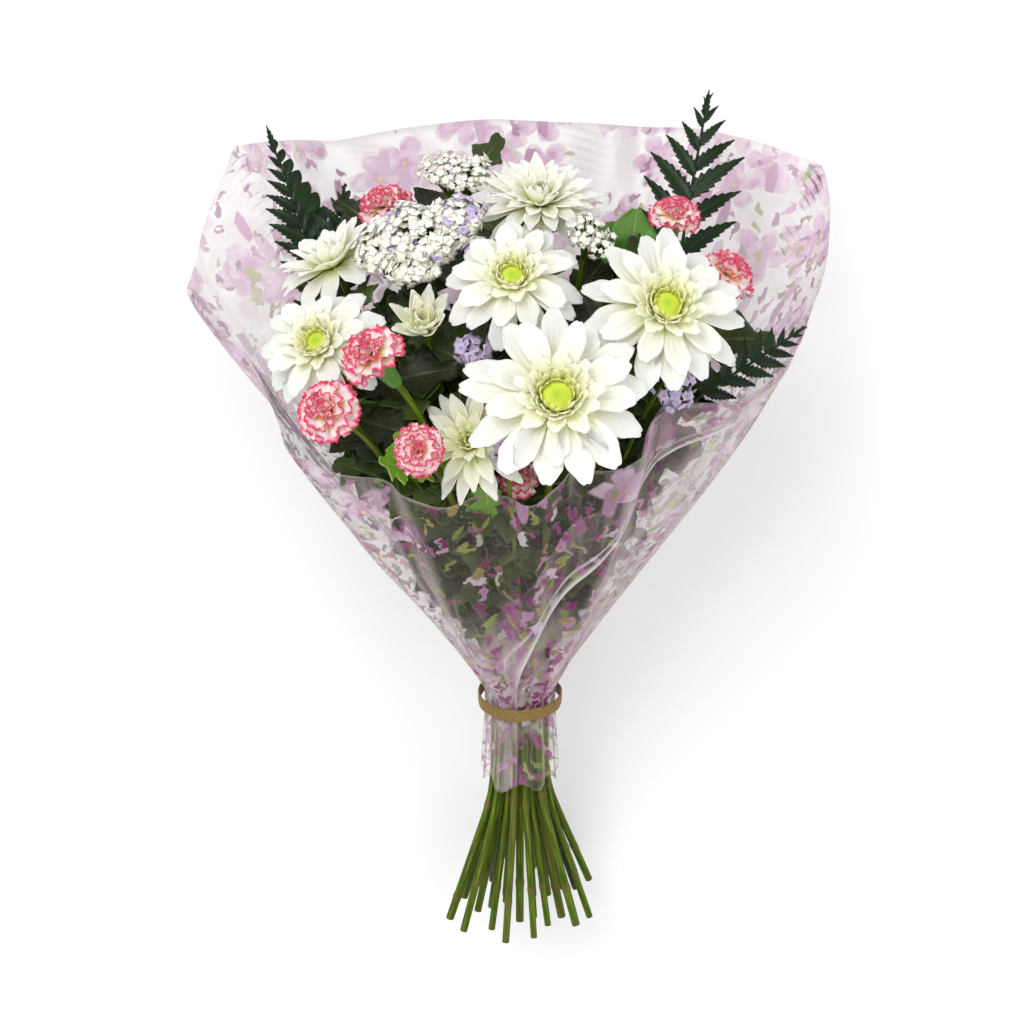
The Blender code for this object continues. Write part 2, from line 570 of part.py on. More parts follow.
def film_surface(u, v, side):
    """Point of the rolled film. u runs round the roll from 0 to 1, past a full turn; v runs from the hem of
    the skirt, -1, through the tie, 0, to the rim, 1. side is 1 on the outer face and -1 on the inner one."""
    climb = max(v, 0.0)
    seam = -4 + 104 * climb ** 2
    angle = seam - FILM_OVERLAP + u * (360 + FILM_OVERLAP)
    reach, top = rim_at(angle)
    single = 360 / (360 + FILM_OVERLAP)
    layer = FILM_LAYER_GAP * min(1.0, max(0.0, (u - single + 0.10) / 0.10))
    a = math.radians(angle)
    pleat = PLEAT_DEPTH * math.cos(FILM_PLEATS * a)
    if v <= 0:
        radius = FILM_NECK_RADIUS + 0.0025 * max(0.0, -v - 0.16)
        height = TIE_TOP + (SKIRT_LENGTH + TIE_TOP) * v + 0.009 * math.cos(7 * a) * max(0.0, -v - 0.55)
        lean = 0.0
    else:
        open_share = max(0.0, climb - 0.02) / 0.98
        front = max(0.0, math.cos(a))
        fullness = (1.12 - 0.12 * math.sin(a) - 0.38 * open_share ** 2 * (1 - front)
                    - (0.36 + 0.33 * min(1.0, 1.8 * open_share)) * front)
        radius = FILM_NECK_RADIUS + (reach - FILM_NECK_RADIUS) * open_share ** fullness
        height = TIE_TOP + (top - TIE_TOP) * climb
        fold = 0.006 * climb * math.sin(9 * a + 0.6) + 0.003 * climb ** 3 * math.sin(23 * a)
        pleat = pleat * (1 + 3 * climb) * (1 - climb) + fold
        lean = math.atan2(reach - FILM_NECK_RADIUS, top)
    push = pleat + layer * (1 + 0.4 * climb) + side * FILM_THICK / 2
    out = np.array((math.sin(a), -math.cos(a), 0))
    normal = out * math.cos(lean * 0.9) - np.array((0, 0, math.sin(lean * 0.9)))
    point = out * radius + np.array((0, 0, height)) + normal * push
    # where the film meets the table it is pressed flat against it
    above = float(np.dot(table_up, point)) + table_drop
    least = 0.0 if side > 0 else FILM_THICK
    if above < least:
        point = point + table_up * (least - above)
    return tuple(point)


def make_film():
    columns = 36
    rows = (-1, -0.55, -0.16, 0.0, 0.05, 0.16, 0.30, 0.45, 0.58, 0.70, 0.80, 0.90, 1.0)
    points, faces = [], []
    for side in (1, -1):
        for v in rows:
            for i in range(columns + 1):
                points.append(film_surface(i / columns, v, side))
    wide, sheet = columns + 1, (columns + 1) * len(rows)
    for r in range(len(rows) - 1):
        for i in range(columns):
            a, b = r * wide + i, r * wide + i + 1
            c, d = a + wide, b + wide
            # the rows shift round the roll, so the diagonal from b to c is the short one
            faces += [(a, b, c), (b, d, c), (sheet + a, sheet + c, sheet + b), (sheet + b, sheet + c, sheet + d)]
    for i in range(columns):
        low, high = i, (len(rows) - 1) * wide + i
        for a in (low, high):
            faces += [(a, a + 1, sheet + a + 1), (a, sheet + a + 1, sheet + a)]
    for r in range(len(rows) - 1):
        for i in (0, columns):
            a, b = r * wide + i, (r + 1) * wide + i
            faces += [(a, b, sheet + b), (a, sheet + b, sheet + a)]
    union("wrapper", [mesh_of("wrapper", points, faces)], "film")


def make_band():
    """Flat rubber band: a turned rectangle round the pleats."""
    inner = FILM_NECK_RADIUS + PLEAT_DEPTH + FILM_LAYER_GAP + FILM_THICK / 2 + CLEAR
    bm = bmesh.new()
    outline = [(inner + BAND_THICK, BAND_WIDTH / 2), (inner + BAND_THICK, -BAND_WIDTH / 2),
               (inner, -BAND_WIDTH / 2), (inner, BAND_WIDTH / 2)]
    verts = [bm.verts.new((x, 0, z)) for x, z in outline]
    edges = [bm.edges.new((verts[i], verts[(i + 1) % 4])) for i in range(4)]
    bmesh.ops.spin(bm, geom=verts + edges, cent=(0, 0, 0), axis=(0, 0, 1), angle=2 * math.pi, steps=24)
    union("rubber_band", [close_mesh(bm, "rubber_band")], "rubber")


for old in list(bpy.data.objects):
    bpy.data.objects.remove(old)
bouquet = bpy.data.collections.new("mixed_flower_bouquet")
helpers = bpy.data.collections.new("helpers")
for made in (bouquet, helpers):
    bpy.context.scene.collection.children.link(made)
pose = bpy.data.objects.new("bouquet_pose", None)
bouquet.objects.link(pose)
rng = random.Random(7)

tops = {}
for name, spec in MUMS.items():
    frame = basis(spec["facing"])
    back = 0.26 * spec["radius"] + 0.0015
    tops[name] = (np.array(spec["centre"]) - frame[:, 2] * back, frame[:, 2])
for name, spec in CARNATIONS.items():
    frame = basis(spec["facing"])
    tops[name] = (np.array(spec["centre"]) - frame[:, 2] * (1.40 * spec["radius"]), frame[:, 2])
for name, spec in FERNS.items():
    tops[name] = (np.array(spec["foot"]), unit(np.array(spec["tip"]) - np.array(spec["foot"])))
for name, spec in FILLERS.items():
    frame = basis(spec["facing"])
    tops[name] = (np.array(spec["centre"]) - frame[:, 2] * (spec["half"][2] + CLEAR), frame[:, 2])
for name, spec in LEAFY.items():
    tops[name] = (np.array(spec["tip"]), unit(spec["facing"]))

places = share_places([top * (0.2 / top[2]) for top, facing in tops.values()])
stems = {}
for place, (name, (top, facing)) in zip(places, tops.items()):
    stems[name] = stem_path(place, top, facing, STEM_FOOT + rng.uniform(-0.007, 0.006))

# The table as the upright bunch sees it: its up direction, and how far it lies below the origin.
lay = math.radians(LAY_ANGLE)
table_up = np.array((0, -math.cos(lay), math.sin(lay)))
table_drop = 0.0

for name, spec in MUMS.items():
    make_mum(name, spec)
for name, spec in CARNATIONS.items():
    make_carnation(name, spec)
for name, spec in FERNS.items():
    make_fern(name, spec)
for name, spec in FILLERS.items():
    make_filler(name, spec)
for name in LEAFY:
    make_leafy(name)

solid = [o for o in bouquet.objects if o.type == "MESH"]
table_drop = -min(float(np.dot(table_up, v.co)) for o in solid for v in o.data.vertices)
make_film()
make_band()

# Lay the bunch down: its axis rises towards +Y, its back faces the table, and it stands on z = 0.
turn = Matrix(((1, 0, 0), (0, math.sin(lay), math.cos(lay)), (0, -math.cos(lay), math.sin(lay))))
pose.matrix_world = Matrix.Translation((0, 0, table_drop)) @ turn.to_4x4()
bpy.context.view_layer.update()
corners = [pose.matrix_world @ v.co for o in bouquet.objects if o.type == "MESH" for v in o.data.vertices]
middle = [(min(c[k] for c in corners) + max(c[k] for c in corners)) / 2 for k in (0, 1)]
pose.matrix_world = Matrix.Translation((-middle[0], -middle[1], 0)) @ pose.matrix_world
bpy.context.view_layer.update()
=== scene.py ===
import math
import random

import bpy
import numpy as np
from mathutils import Matrix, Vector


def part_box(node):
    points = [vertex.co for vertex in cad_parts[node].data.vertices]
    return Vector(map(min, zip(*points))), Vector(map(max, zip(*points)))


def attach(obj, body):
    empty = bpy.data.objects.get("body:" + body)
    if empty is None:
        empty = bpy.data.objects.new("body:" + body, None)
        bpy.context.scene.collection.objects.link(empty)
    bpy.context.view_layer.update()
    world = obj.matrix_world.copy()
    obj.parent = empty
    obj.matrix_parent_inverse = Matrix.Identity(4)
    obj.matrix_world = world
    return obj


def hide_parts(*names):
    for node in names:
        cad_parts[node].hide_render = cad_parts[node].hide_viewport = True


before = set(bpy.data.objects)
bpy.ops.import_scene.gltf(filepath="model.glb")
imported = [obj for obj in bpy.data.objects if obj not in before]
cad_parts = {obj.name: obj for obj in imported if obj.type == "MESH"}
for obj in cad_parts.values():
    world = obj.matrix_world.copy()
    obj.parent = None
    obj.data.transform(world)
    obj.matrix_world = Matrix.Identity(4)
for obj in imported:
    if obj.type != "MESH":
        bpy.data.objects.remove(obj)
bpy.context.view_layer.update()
scene = bpy.context.scene
noise = np.random.default_rng(23)  # every random draw of the fine shapes

# The bunch is worked out with its own axis upright and the middle of its tie at the origin, its seen side
# towards -Y, and is then laid on its back.
bunch = {"layAngle": 20.2, "seed": 7}
layTurn = math.radians(bunch["layAngle"])
layAxes = np.array(((1, 0, 0), (0, math.sin(layTurn), math.cos(layTurn)),
                    (0, -math.cos(layTurn), math.sin(layTurn))))
tieMiddle = sum(np.array(corner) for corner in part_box("rubber_band")) / 2


def laid(points):
    return np.asarray(points, float) @ layAxes.T + tieMiddle


def unit(vector):
    vector = np.asarray(vector, float)
    return vector / np.linalg.norm(vector, axis=-1, keepdims=True)


# ---- camera, floor and light first

view = {"elevation": 27.0, "distance": 1.5, "lens": 105.47, "aimAcross": -0.004, "aimUp": 0.0915}


def placeCamera():
    # stands in front of the bunch as if it were upright, so it looks down on the laid one
    tilt = math.radians(view["elevation"])
    right = layAxes @ np.array((1.0, 0, 0))
    upward = layAxes @ np.array((0, math.sin(tilt), math.cos(tilt)))
    back = layAxes @ np.array((0, -math.cos(tilt), math.sin(tilt)))
    place = tieMiddle + right * view["aimAcross"] + upward * view["aimUp"] + back * view["distance"]
    camera = bpy.data.objects.new("camera", bpy.data.cameras.new("camera"))
    camera.data.lens = view["lens"]
    camera.data.sensor_width = 36
    camera.matrix_world = Matrix([[*row, at] for row, at in zip(np.column_stack((right, upward, back)), place)]
                                 + [[0, 0, 0, 1]])
    scene.collection.objects.link(camera)
    scene.camera = camera


def hexColour(code):
    # sRGB hex to linear values
    parts = np.array([int(code[i:i + 2], 16) for i in (1, 3, 5)]) / 255
    linear = np.where(parts <= 0.04045, parts / 12.92, ((parts + 0.055) / 1.055) ** 2.4)
    return (*linear, 1.0)


def addNode(tree, kind, settings=None, links=None):
    # one node, its settings (a property, an input by name or number, or ramp stops) and its links, each from
    # an output or from the first output of a node
    node = tree.nodes.new("ShaderNode" + kind)
    for key, value in (settings or {}).items():
        if key == "stops":
            elements = node.color_ramp.elements
            while len(elements) < len(value):
                elements.new(0.5)
            for element, (place, colour) in zip(elements, value):
                element.position = place
                element.color = hexColour(colour) if isinstance(colour, str) else (colour,) * 3 + (1,)
        elif isinstance(key, str) and hasattr(node, key):
            setattr(node, key, value)
        else:
            node.inputs[key].default_value = hexColour(value) if isinstance(value, str) else value
    for key, source in (links or {}).items():
        tree.links.new(source.outputs[0] if isinstance(source, bpy.types.Node) else source, node.inputs[key])
    return node


def startFinish(name, **constants):
    # a material with one Principled shader, whose even values are set on its own sockets
    finish = bpy.data.materials.new(name)
    finish.use_nodes = True
    shader = finish.node_tree.nodes["Principled BSDF"]
    for socket, value in constants.items():
        shader.inputs[socket.replace("_", " ")].default_value = value
    return finish, finish.node_tree, shader


studio = {"floor": "#DCDCDC", "floorGlow": 0.24, "sky": 0.59, "lamps": (  # name, place, size, power
    ("key", (-0.55, 0.75, 1.35), 0.9, 15), ("fill", (0.9, 0.1, 1.1), 0.9, 5), ("front", (-0.2, -0.9, 0.9), 0.8, 3))}


def lightScene():
    # a floor that glows a little, an even white sky and three soft lamps turned to the flowers
    bpy.ops.mesh.primitive_plane_add(size=14)
    floor = bpy.context.object
    floor.name = "floor"
    finish, tree, shader = startFinish("matt white table", Roughness=0.9)
    shader.inputs["Base Color"].default_value = hexColour(studio["floor"])
    shader.inputs["Emission Color"].default_value = (1, 1, 1, 1)
    shader.inputs["Emission Strength"].default_value = studio["floorGlow"]
    floor.data.materials.append(finish)
    sky = bpy.data.worlds.new("studio")
    scene.world = sky
    sky.use_nodes = True
    backdrop = sky.node_tree.nodes["Background"]
    backdrop.inputs["Color"].default_value = (1, 1, 1, 1)
    backdrop.inputs["Strength"].default_value = studio["sky"]
    aim = tieMiddle + layAxes @ np.array((0, 0, 0.12))
    for name, place, size, power in studio["lamps"]:
        light = bpy.data.lights.new(name, "AREA")
        light.size = size
        light.energy = power
        lamp = bpy.data.objects.new(name, light)
        scene.collection.objects.link(lamp)
        back = unit(np.array(place) - aim)
        side = unit(np.cross((0, 0, 1), back))
        rows = np.column_stack((side, np.cross(back, side), back))
        lamp.matrix_world = Matrix([[*row, at] for row, at in zip(rows, place)] + [[0, 0, 0, 1]])
    scene.view_settings.view_transform = "Standard"
    scene.cycles.transparent_max_bounces = 20


placeCamera()
lightScene()
print("camera, floor and light are set")


# ---- shapes

def gridFaces(rows, cols, closed=False):
    # quads of a grid of rows x cols points; closed joins the last column to the first. Seen with the rows
    # running right and the columns away, they face up
    r, c = np.arange(rows - 1)[:, None], np.arange(cols if closed else cols - 1)[None]
    a, b = r * cols + c, r * cols + (c + 1) % cols
    return np.stack((a, a + cols, b + cols, b), -1).reshape(-1, 4)


def meshPart(points, faces, uv, tint, under=None, finish=0):
    # what buildPiece joins; tint and under are one value for each point
    tint = np.asarray(tint).reshape(-1)
    under = np.zeros(len(tint)) if under is None else under.reshape(-1)
    return dict(points=points.reshape(-1, 3), faces=faces, uv=uv.reshape(-1, 2), tint=tint, under=under, finish=finish)


def walked(path):
    # length of the path up to each of its points
    return np.concatenate(((0,), np.cumsum(np.linalg.norm(np.diff(path, axis=0), axis=1))))


def shells(points, thick, uv, tint=0.0, finish=0):
    # open grids (count, rows, cols) made into thin closed shells: each point goes half the thickness both
    # ways along its normal, and a strip closes the edge. under is 1 on the lower face
    count, rows, cols, _ = points.shape
    normal = np.cross(np.gradient(points, axis=1), np.gradient(points, axis=2))
    normal /= np.linalg.norm(normal, axis=-1, keepdims=True) + 1e-12
    half = normal * thick / 2
    both = np.concatenate(((points + half).reshape(count, -1, 3), (points - half).reshape(count, -1, 3)), 1)
    size = rows * cols
    one = gridFaces(rows, cols)
    index = np.arange(size).reshape(rows, cols)
    ring = np.concatenate((index[:, 0], index[-1, 1:], index[-2::-1, -1], index[0, -2:0:-1]))
    after = np.roll(ring, -1)
    faces = np.concatenate((one, one[:, ::-1] + size, np.stack((ring, ring + size, after + size, after), -1)))
    faces = (faces[None] + (np.arange(count) * 2 * size)[:, None, None]).reshape(-1, 4)
    uv = np.broadcast_to(uv, (count, rows, cols, 2)).reshape(count, -1, 2)
    tint = np.broadcast_to(np.asarray(tint, float).reshape(-1, 1), (count, 2 * size))
    under = np.broadcast_to(np.repeat((0.0, 1.0), size), (count, 2 * size))
    return meshPart(both, faces, np.concatenate((uv, uv), 1), tint, under, finish)


def blades(root, out, across, rise, droop, length, half, outline, rows=13, cols=7, curl=1.0, cup=0.2, rib=0.0,
           ribs=3.0, wave=0.0, waves=1.5, sway=0.0, roll=0.0, roundness=0.0, notch=0.0, fringe=0.0, ruffle=0.0,
           ruffles=3.0, thick=0.0004, tint=0.0, finish=0):
    # Petals and leaves. The midline leaves its root along out, raised by rise degrees, and bends down by
    # droop degrees over its length; outline(v) is the half width along it. Across, the edges are raised by
    # cup times the width, ribs run lengthwise and the edges wave. roundness draws the outer corners back,
    # notch the middle of the tip, and fringe every other column, which gives teeth.
    count = len(root)
    each = lambda a: np.broadcast_to(np.asarray(a, float), (count,))[:, None, None]
    v = np.linspace(0, 1, rows)[None, :, None]
    u = np.linspace(-1, 1, cols)[None, None, :]
    reach = v * (1 - roundness * np.abs(u) ** 2.2 * v ** 3) - notch * np.exp(-(u / 0.2) ** 2) * v ** 8
    reach = reach - fringe * v ** 6 * (np.arange(cols) % 2)
    reach = np.broadcast_to(reach, (count, rows, cols))
    fine = np.linspace(0, 1, 41)[None]
    slope = np.radians(each(rise)[..., 0] - each(droop)[..., 0] * fine ** curl)
    start = np.zeros((count, 1))
    flat = np.concatenate((start, np.cumsum((np.cos(slope[:, 1:]) + np.cos(slope[:, :-1])) / 80, 1)), 1)
    high = np.concatenate((start, np.cumsum((np.sin(slope[:, 1:]) + np.sin(slope[:, :-1])) / 80, 1)), 1)
    spot = np.clip(reach, 0, 1) * 40
    low = np.minimum(spot.astype(int), 39)
    rest = spot - low
    low, rest = low.reshape(count, -1), rest.reshape(count, -1)
    read = lambda table: (np.take_along_axis(table, low, 1) * (1 - rest)
                          + np.take_along_axis(table, low + 1, 1) * rest).reshape(count, rows, cols)
    flat, high, bend = read(flat) * each(length), read(high) * each(length), read(slope)
    width = each(half) * outline(v)
    phase = each(noise.uniform(0, 1, count))
    lift = width * (cup * u ** 2 - rib * np.cos(ribs * math.pi * u) * np.sin(math.pi * np.minimum(v * 1.15, 1))
                    + each(roll) * u * v)
    lift = lift + each(half) * wave * np.abs(u) ** 3 * np.sin(2 * math.pi * (waves * v + phase) + 1.9 * (u > 0))
    lift = lift + each(length) * ruffle * v ** 2 * np.sin(math.pi * ruffles * u + 6.28 * phase)
    out, across = np.asarray(out, float)[:, None, None], np.asarray(across, float)[:, None, None]
    up = np.cross(out, across)
    normal = up * np.cos(bend)[..., None] - out * np.sin(bend)[..., None]
    points = (np.asarray(root, float)[:, None, None] + out * flat[..., None] + up * high[..., None]
              + across * (u * width + each(sway) * each(length) * v ** 2)[..., None] + normal * lift[..., None])
    uv = np.stack(np.broadcast_arrays(u / 2 + 0.5, v), -1)
    return shells(points, thick, uv, tint, finish)


def tube(path, radii, sides=10, tint=0.0, finish=0):
    # a ring of sides points carried along the path and closed at both ends; uv runs round and along it
    path, radii = np.asarray(path, float), np.broadcast_to(radii, (len(path),))
    along = unit(np.gradient(path, axis=0))
    guide = np.eye(3)[np.argmin(np.abs(along.mean(0)))]
    side = unit(np.cross(along, guide))
    other = np.cross(along, side)
    a = np.linspace(0, 2 * math.pi, sides, endpoint=False)
    ring = side[:, None] * np.cos(a)[None, :, None] + other[:, None] * np.sin(a)[None, :, None]
    points = path[:, None] + ring * radii[:, None, None]
    points = np.concatenate((path[:1, None] + ring[:1] * 1e-5, points, path[-1:, None] + ring[-1:] * 1e-5))
    distance = walked(path)
    distance = np.concatenate(((-0.001,), distance, distance[-1:] + 0.001))
    uv = np.stack(np.broadcast_arrays((a / (2 * math.pi))[None], distance[:, None]), -1)
    tint = np.broadcast_to(tint, (len(path),))
    tint = np.repeat(np.concatenate((tint[:1], tint, tint[-1:])), sides)
    return meshPart(points, gridFaces(len(path) + 2, sides, closed=True)[:, ::-1], uv, tint, finish=finish)


def buildPiece(name, parts, finishes, nodes):
    # joins the parts into one mesh, laid down with the bunch, that rides on the root and stands for its nodes
    points = laid(np.concatenate([part["points"] for part in parts]))
    starts = np.cumsum([0] + [len(part["points"]) for part in parts[:-1]])
    faces = np.concatenate([part["faces"] + start for part, start in zip(parts, starts)])
    mesh = bpy.data.meshes.new(name)
    mesh.vertices.add(len(points))
    mesh.vertices.foreach_set("co", points.astype(np.float32).ravel())
    mesh.loops.add(faces.size)
    mesh.loops.foreach_set("vertex_index", faces.ravel().astype(np.int32))
    mesh.polygons.add(len(faces))
    mesh.polygons.foreach_set("loop_start", np.arange(0, faces.size, 4, dtype=np.int32))
    mesh.polygons.foreach_set("material_index", np.concatenate(
        [np.full(len(part["faces"]), part["finish"], np.int32) for part in parts]))
    mesh.polygons.foreach_set("use_smooth", np.ones(len(faces), bool))
    layer = mesh.uv_layers.new(name="pattern")
    uv = np.concatenate([part["uv"] for part in parts])[faces.ravel()]
    layer.data.foreach_set("uv", uv.astype(np.float32).ravel())
    for key in ("tint", "under"):
        values = mesh.attributes.new(key, "FLOAT", "POINT")
        values.data.foreach_set("value", np.concatenate([part[key] for part in parts]).astype(np.float32))
    mesh.update(calc_edges=True)
    for finish in finishes:
        mesh.materials.append(finish)
    piece = bpy.data.objects.new(name, mesh)
    scene.collection.objects.link(piece)
    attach(piece, "root")
    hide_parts(*nodes)
    return piece


def petalOutline(base, peak, tip, power=2.2):
    # half width along a petal: a quarter sine from base up to the peak, then a power curve down to tip
    def outline(v):
        grow = np.sin(np.minimum(v / peak, 1) * math.pi / 2)
        fall = 1 - (1 - tip) * (np.maximum(v - peak, 0) / max(1 - peak, 0.01)) ** power
        return (base + (1 - base) * grow) * fall
    return outline


def toothedOutline(base, peak, tip, teeth, depth):
    # a petal outline cut by a saw line whose teeth point to the tip
    whole = petalOutline(base, peak, tip, 1.3)
    return lambda v: whole(v) * (1 - depth * (1 - (teeth * v) % 1) * (v < 0.999))


def lobedOutline(base, peak, tip, lobes, depth):
    # a petal outline cut by a cosine into lobes, with finer teeth on them
    whole = petalOutline(base, peak, tip, 1.5)
    return lambda v: whole(v) * (1 - depth * (0.5 + 0.5 * np.cos(2 * math.pi * lobes * v))
                                 - 0.10 * (0.5 + 0.5 * np.cos(2 * math.pi * lobes * 3 * v)))


def headAxes(facing):
    # columns: across, up the bloom, and facing
    z = unit(facing)
    x = unit(np.cross((0, 0, 1), z))
    return np.column_stack((x, np.cross(z, x), z))


def spokes(axes, heading):
    # ways out from a bloom's axis at each heading, and the ways across them
    c, s = np.cos(heading), np.sin(heading)
    return (axes @ np.stack((c, s, 0 * heading))).T, (axes @ np.stack((-s, c, 0 * heading))).T


# ---- finishes

def petalFinish():
    # Fresh chrysanthemum petal, grown: satin, thin enough to glow, cream white with fine lengthwise veins,
    # and yellow green where it joins the eye. tint 1 is a greener young petal.
    finish, tree, shader = startFinish("fresh chrysanthemum petal", Roughness=0.55, IOR=1.42, Subsurface_Weight=0.6,
                                       Subsurface_Scale=0.005, Sheen_Weight=0.2)
    shader.inputs["Subsurface Radius"].default_value = (1.0, 0.95, 0.7)
    place = addNode(tree, "SeparateXYZ", links={0: addNode(tree, "UVMap")})
    along = addNode(tree, "ValToRGB", {"stops": ((0.0, "#C9DC3A"), (0.16, "#EEF09C"), (0.42, "#FDFCE6"),
                                                             (1.0, "#FFFFF8"))}, {0: place.outputs[1]})
    young = addNode(tree, "ValToRGB", {"stops": ((0.0, "#C2DA2A"), (0.35, "#E4EC5C"), (0.75, "#F4F494"),
                                                             (1.0, "#F2F38C"))}, {0: place.outputs[1]})
    tint = addNode(tree, "Attribute", {"attribute_name": "tint"})
    base = addNode(tree, "Mix", {"data_type": "RGBA"},
                   {0: tint.outputs["Fac"], 6: along, 7: young})
    stretch = addNode(tree, "CombineXYZ", links={0: addNode(
        tree, "Math", {"operation": "MULTIPLY", 1: 26.0}, {0: place}),
        1: place.outputs[1]})
    veins = addNode(tree, "TexNoise", {"Scale": 1.0, "Detail": 2.0}, {"Vector": stretch})
    shade = addNode(tree, "ValToRGB", {"stops": ((0.34, "#E6E3CC"), (0.58, "#FFFFFF"))},
                    {0: veins})
    colour = addNode(tree, "Mix", {"data_type": "RGBA", "blend_type": "MULTIPLY", 0: 0.36},
                     {6: base.outputs[2], 7: shade})
    bump = addNode(tree, "Bump", {"Strength": 0.25, "Distance": 0.0004}, {"Height": veins})
    tree.links.new(colour.outputs[2], shader.inputs["Base Color"])
    tree.links.new(bump.outputs[0], shader.inputs["Normal"])
    return finish


def eyeFinish():
    # Packed disc florets of a chrysanthemum: matt, lime green in the middle and yellower towards the rim; tint also
    # carries painted shade, darker in the gaps between florets and lighter on their raised tips.
    finish, tree, shader = startFinish("packed disc florets", Roughness=0.6, Subsurface_Weight=0.3,
                                       Subsurface_Scale=0.002, Subsurface_Radius=(1, 1, 0.3))
    tint = addNode(tree, "Attribute", {"attribute_name": "tint"})
    colour = addNode(tree, "ValToRGB", {"stops": ((0.0, "#94B41E"), (0.35, "#BCD238"), (0.75, "#E0E75A"),
                                                              (1.0, "#F0F278"))}, {0: tint.outputs["Fac"]})
    tree.links.new(colour.outputs[0], shader.inputs["Base Color"])
    return finish


def leafFinish(name, deep, bright, underside, rough=0.42):
    # Fresh leaf: satin cuticle, a paler midrib and side veins sunk into the face, and a matt, paler back.
    finish, tree, shader = startFinish(name, Roughness=rough, Specular_IOR_Level=0.28, Subsurface_Weight=0.05,
                                       Subsurface_Scale=0.001, Subsurface_Radius=(0.7, 1, 0.2))
    place = addNode(tree, "SeparateXYZ", links={0: addNode(tree, "UVMap")})
    away = addNode(tree, "Math", {"operation": "SUBTRACT", 1: 0.5}, {0: place})
    away = addNode(tree, "Math", {"operation": "ABSOLUTE"}, {0: away})
    midrib = addNode(tree, "MapRange", {1: 0.0, 2: 0.045, 3: 1.0, 4: 0.0}, {0: away})
    # side veins run outwards and forwards: a sine of (v - 0.45 |u|)
    slant = addNode(tree, "Math", {"operation": "MULTIPLY_ADD", 1: -0.7}, {0: away,
                                                                                        2: place.outputs[1]})
    wave = addNode(tree, "Math", {"operation": "MULTIPLY", 1: 56.0}, {0: slant})
    wave = addNode(tree, "Math", {"operation": "SINE"}, {0: wave})
    side = addNode(tree, "MapRange", {1: 0.86, 2: 1.0, 3: 0.0, 4: 0.55}, {0: wave})
    vein = addNode(tree, "Math", {"operation": "MAXIMUM"}, {0: midrib, 1: side})
    spots = addNode(tree, "TexNoise", {"Scale": 120.0, "Detail": 3.0},
                    {"Vector": addNode(tree, "TexCoord").outputs["Object"]})
    tint = addNode(tree, "Attribute", {"attribute_name": "tint"})
    mixed = addNode(tree, "Math", {"operation": "MULTIPLY_ADD", 1: 0.45, "use_clamp": True},
                    {0: spots, 2: tint.outputs["Fac"]})
    base = addNode(tree, "Mix", {"data_type": "RGBA", 6: deep, 7: bright}, {0: mixed})
    veined = addNode(tree, "Mix", {"data_type": "RGBA", 7: underside},
                     {0: addNode(tree, "Math", {"operation": "MULTIPLY", 1: 0.6},
                                 {0: vein}), 6: base.outputs[2]})
    back = addNode(tree, "Attribute", {"attribute_name": "under"})
    colour = addNode(tree, "Mix", {"data_type": "RGBA", 7: underside},
                     {0: back.outputs["Fac"], 6: veined.outputs[2]})
    bump = addNode(tree, "Bump", {"Strength": 0.6, "Distance": 0.0005, "invert": True},
                   {"Height": vein})
    tree.links.new(colour.outputs[2], shader.inputs["Base Color"])
    tree.links.new(bump.outputs[0], shader.inputs["Normal"])
    return finish


def stemFinish():
    # Cut flower stem, grown: waxy green with fine lengthwise streaks; tint 1 is the brown of a node or scar.
    finish, tree, shader = startFinish("waxy cut flower stem", Roughness=0.5, Specular_IOR_Level=0.12,
                                       Subsurface_Weight=0.06, Subsurface_Scale=0.001)
    place = addNode(tree, "SeparateXYZ", links={0: addNode(tree, "UVMap")})
    stretch = addNode(tree, "CombineXYZ", links={
        0: addNode(tree, "Math", {"operation": "MULTIPLY", 1: 9.0}, {0: place}),
        1: addNode(tree, "Math", {"operation": "MULTIPLY", 1: 45.0}, {0: place.outputs[1]})})
    streaks = addNode(tree, "TexNoise", {"Scale": 1.0, "Detail": 4.0}, {"Vector": stretch})
    green = addNode(tree, "ValToRGB", {"stops": ((0.30, "#263605"), (0.52, "#4C6509"), (0.75, "#849822"))},
                    {0: streaks})
    tint = addNode(tree, "Attribute", {"attribute_name": "tint"})
    colour = addNode(tree, "Mix", {"data_type": "RGBA", 7: "#6B5A34"},
                     {0: tint.outputs["Fac"], 6: green})
    bump = addNode(tree, "Bump", {"Strength": 0.4, "Distance": 0.0003}, {"Height": streaks})
    tree.links.new(colour.outputs[2], shader.inputs["Base Color"])
    tree.links.new(bump.outputs[0], shader.inputs["Normal"])
    return finish


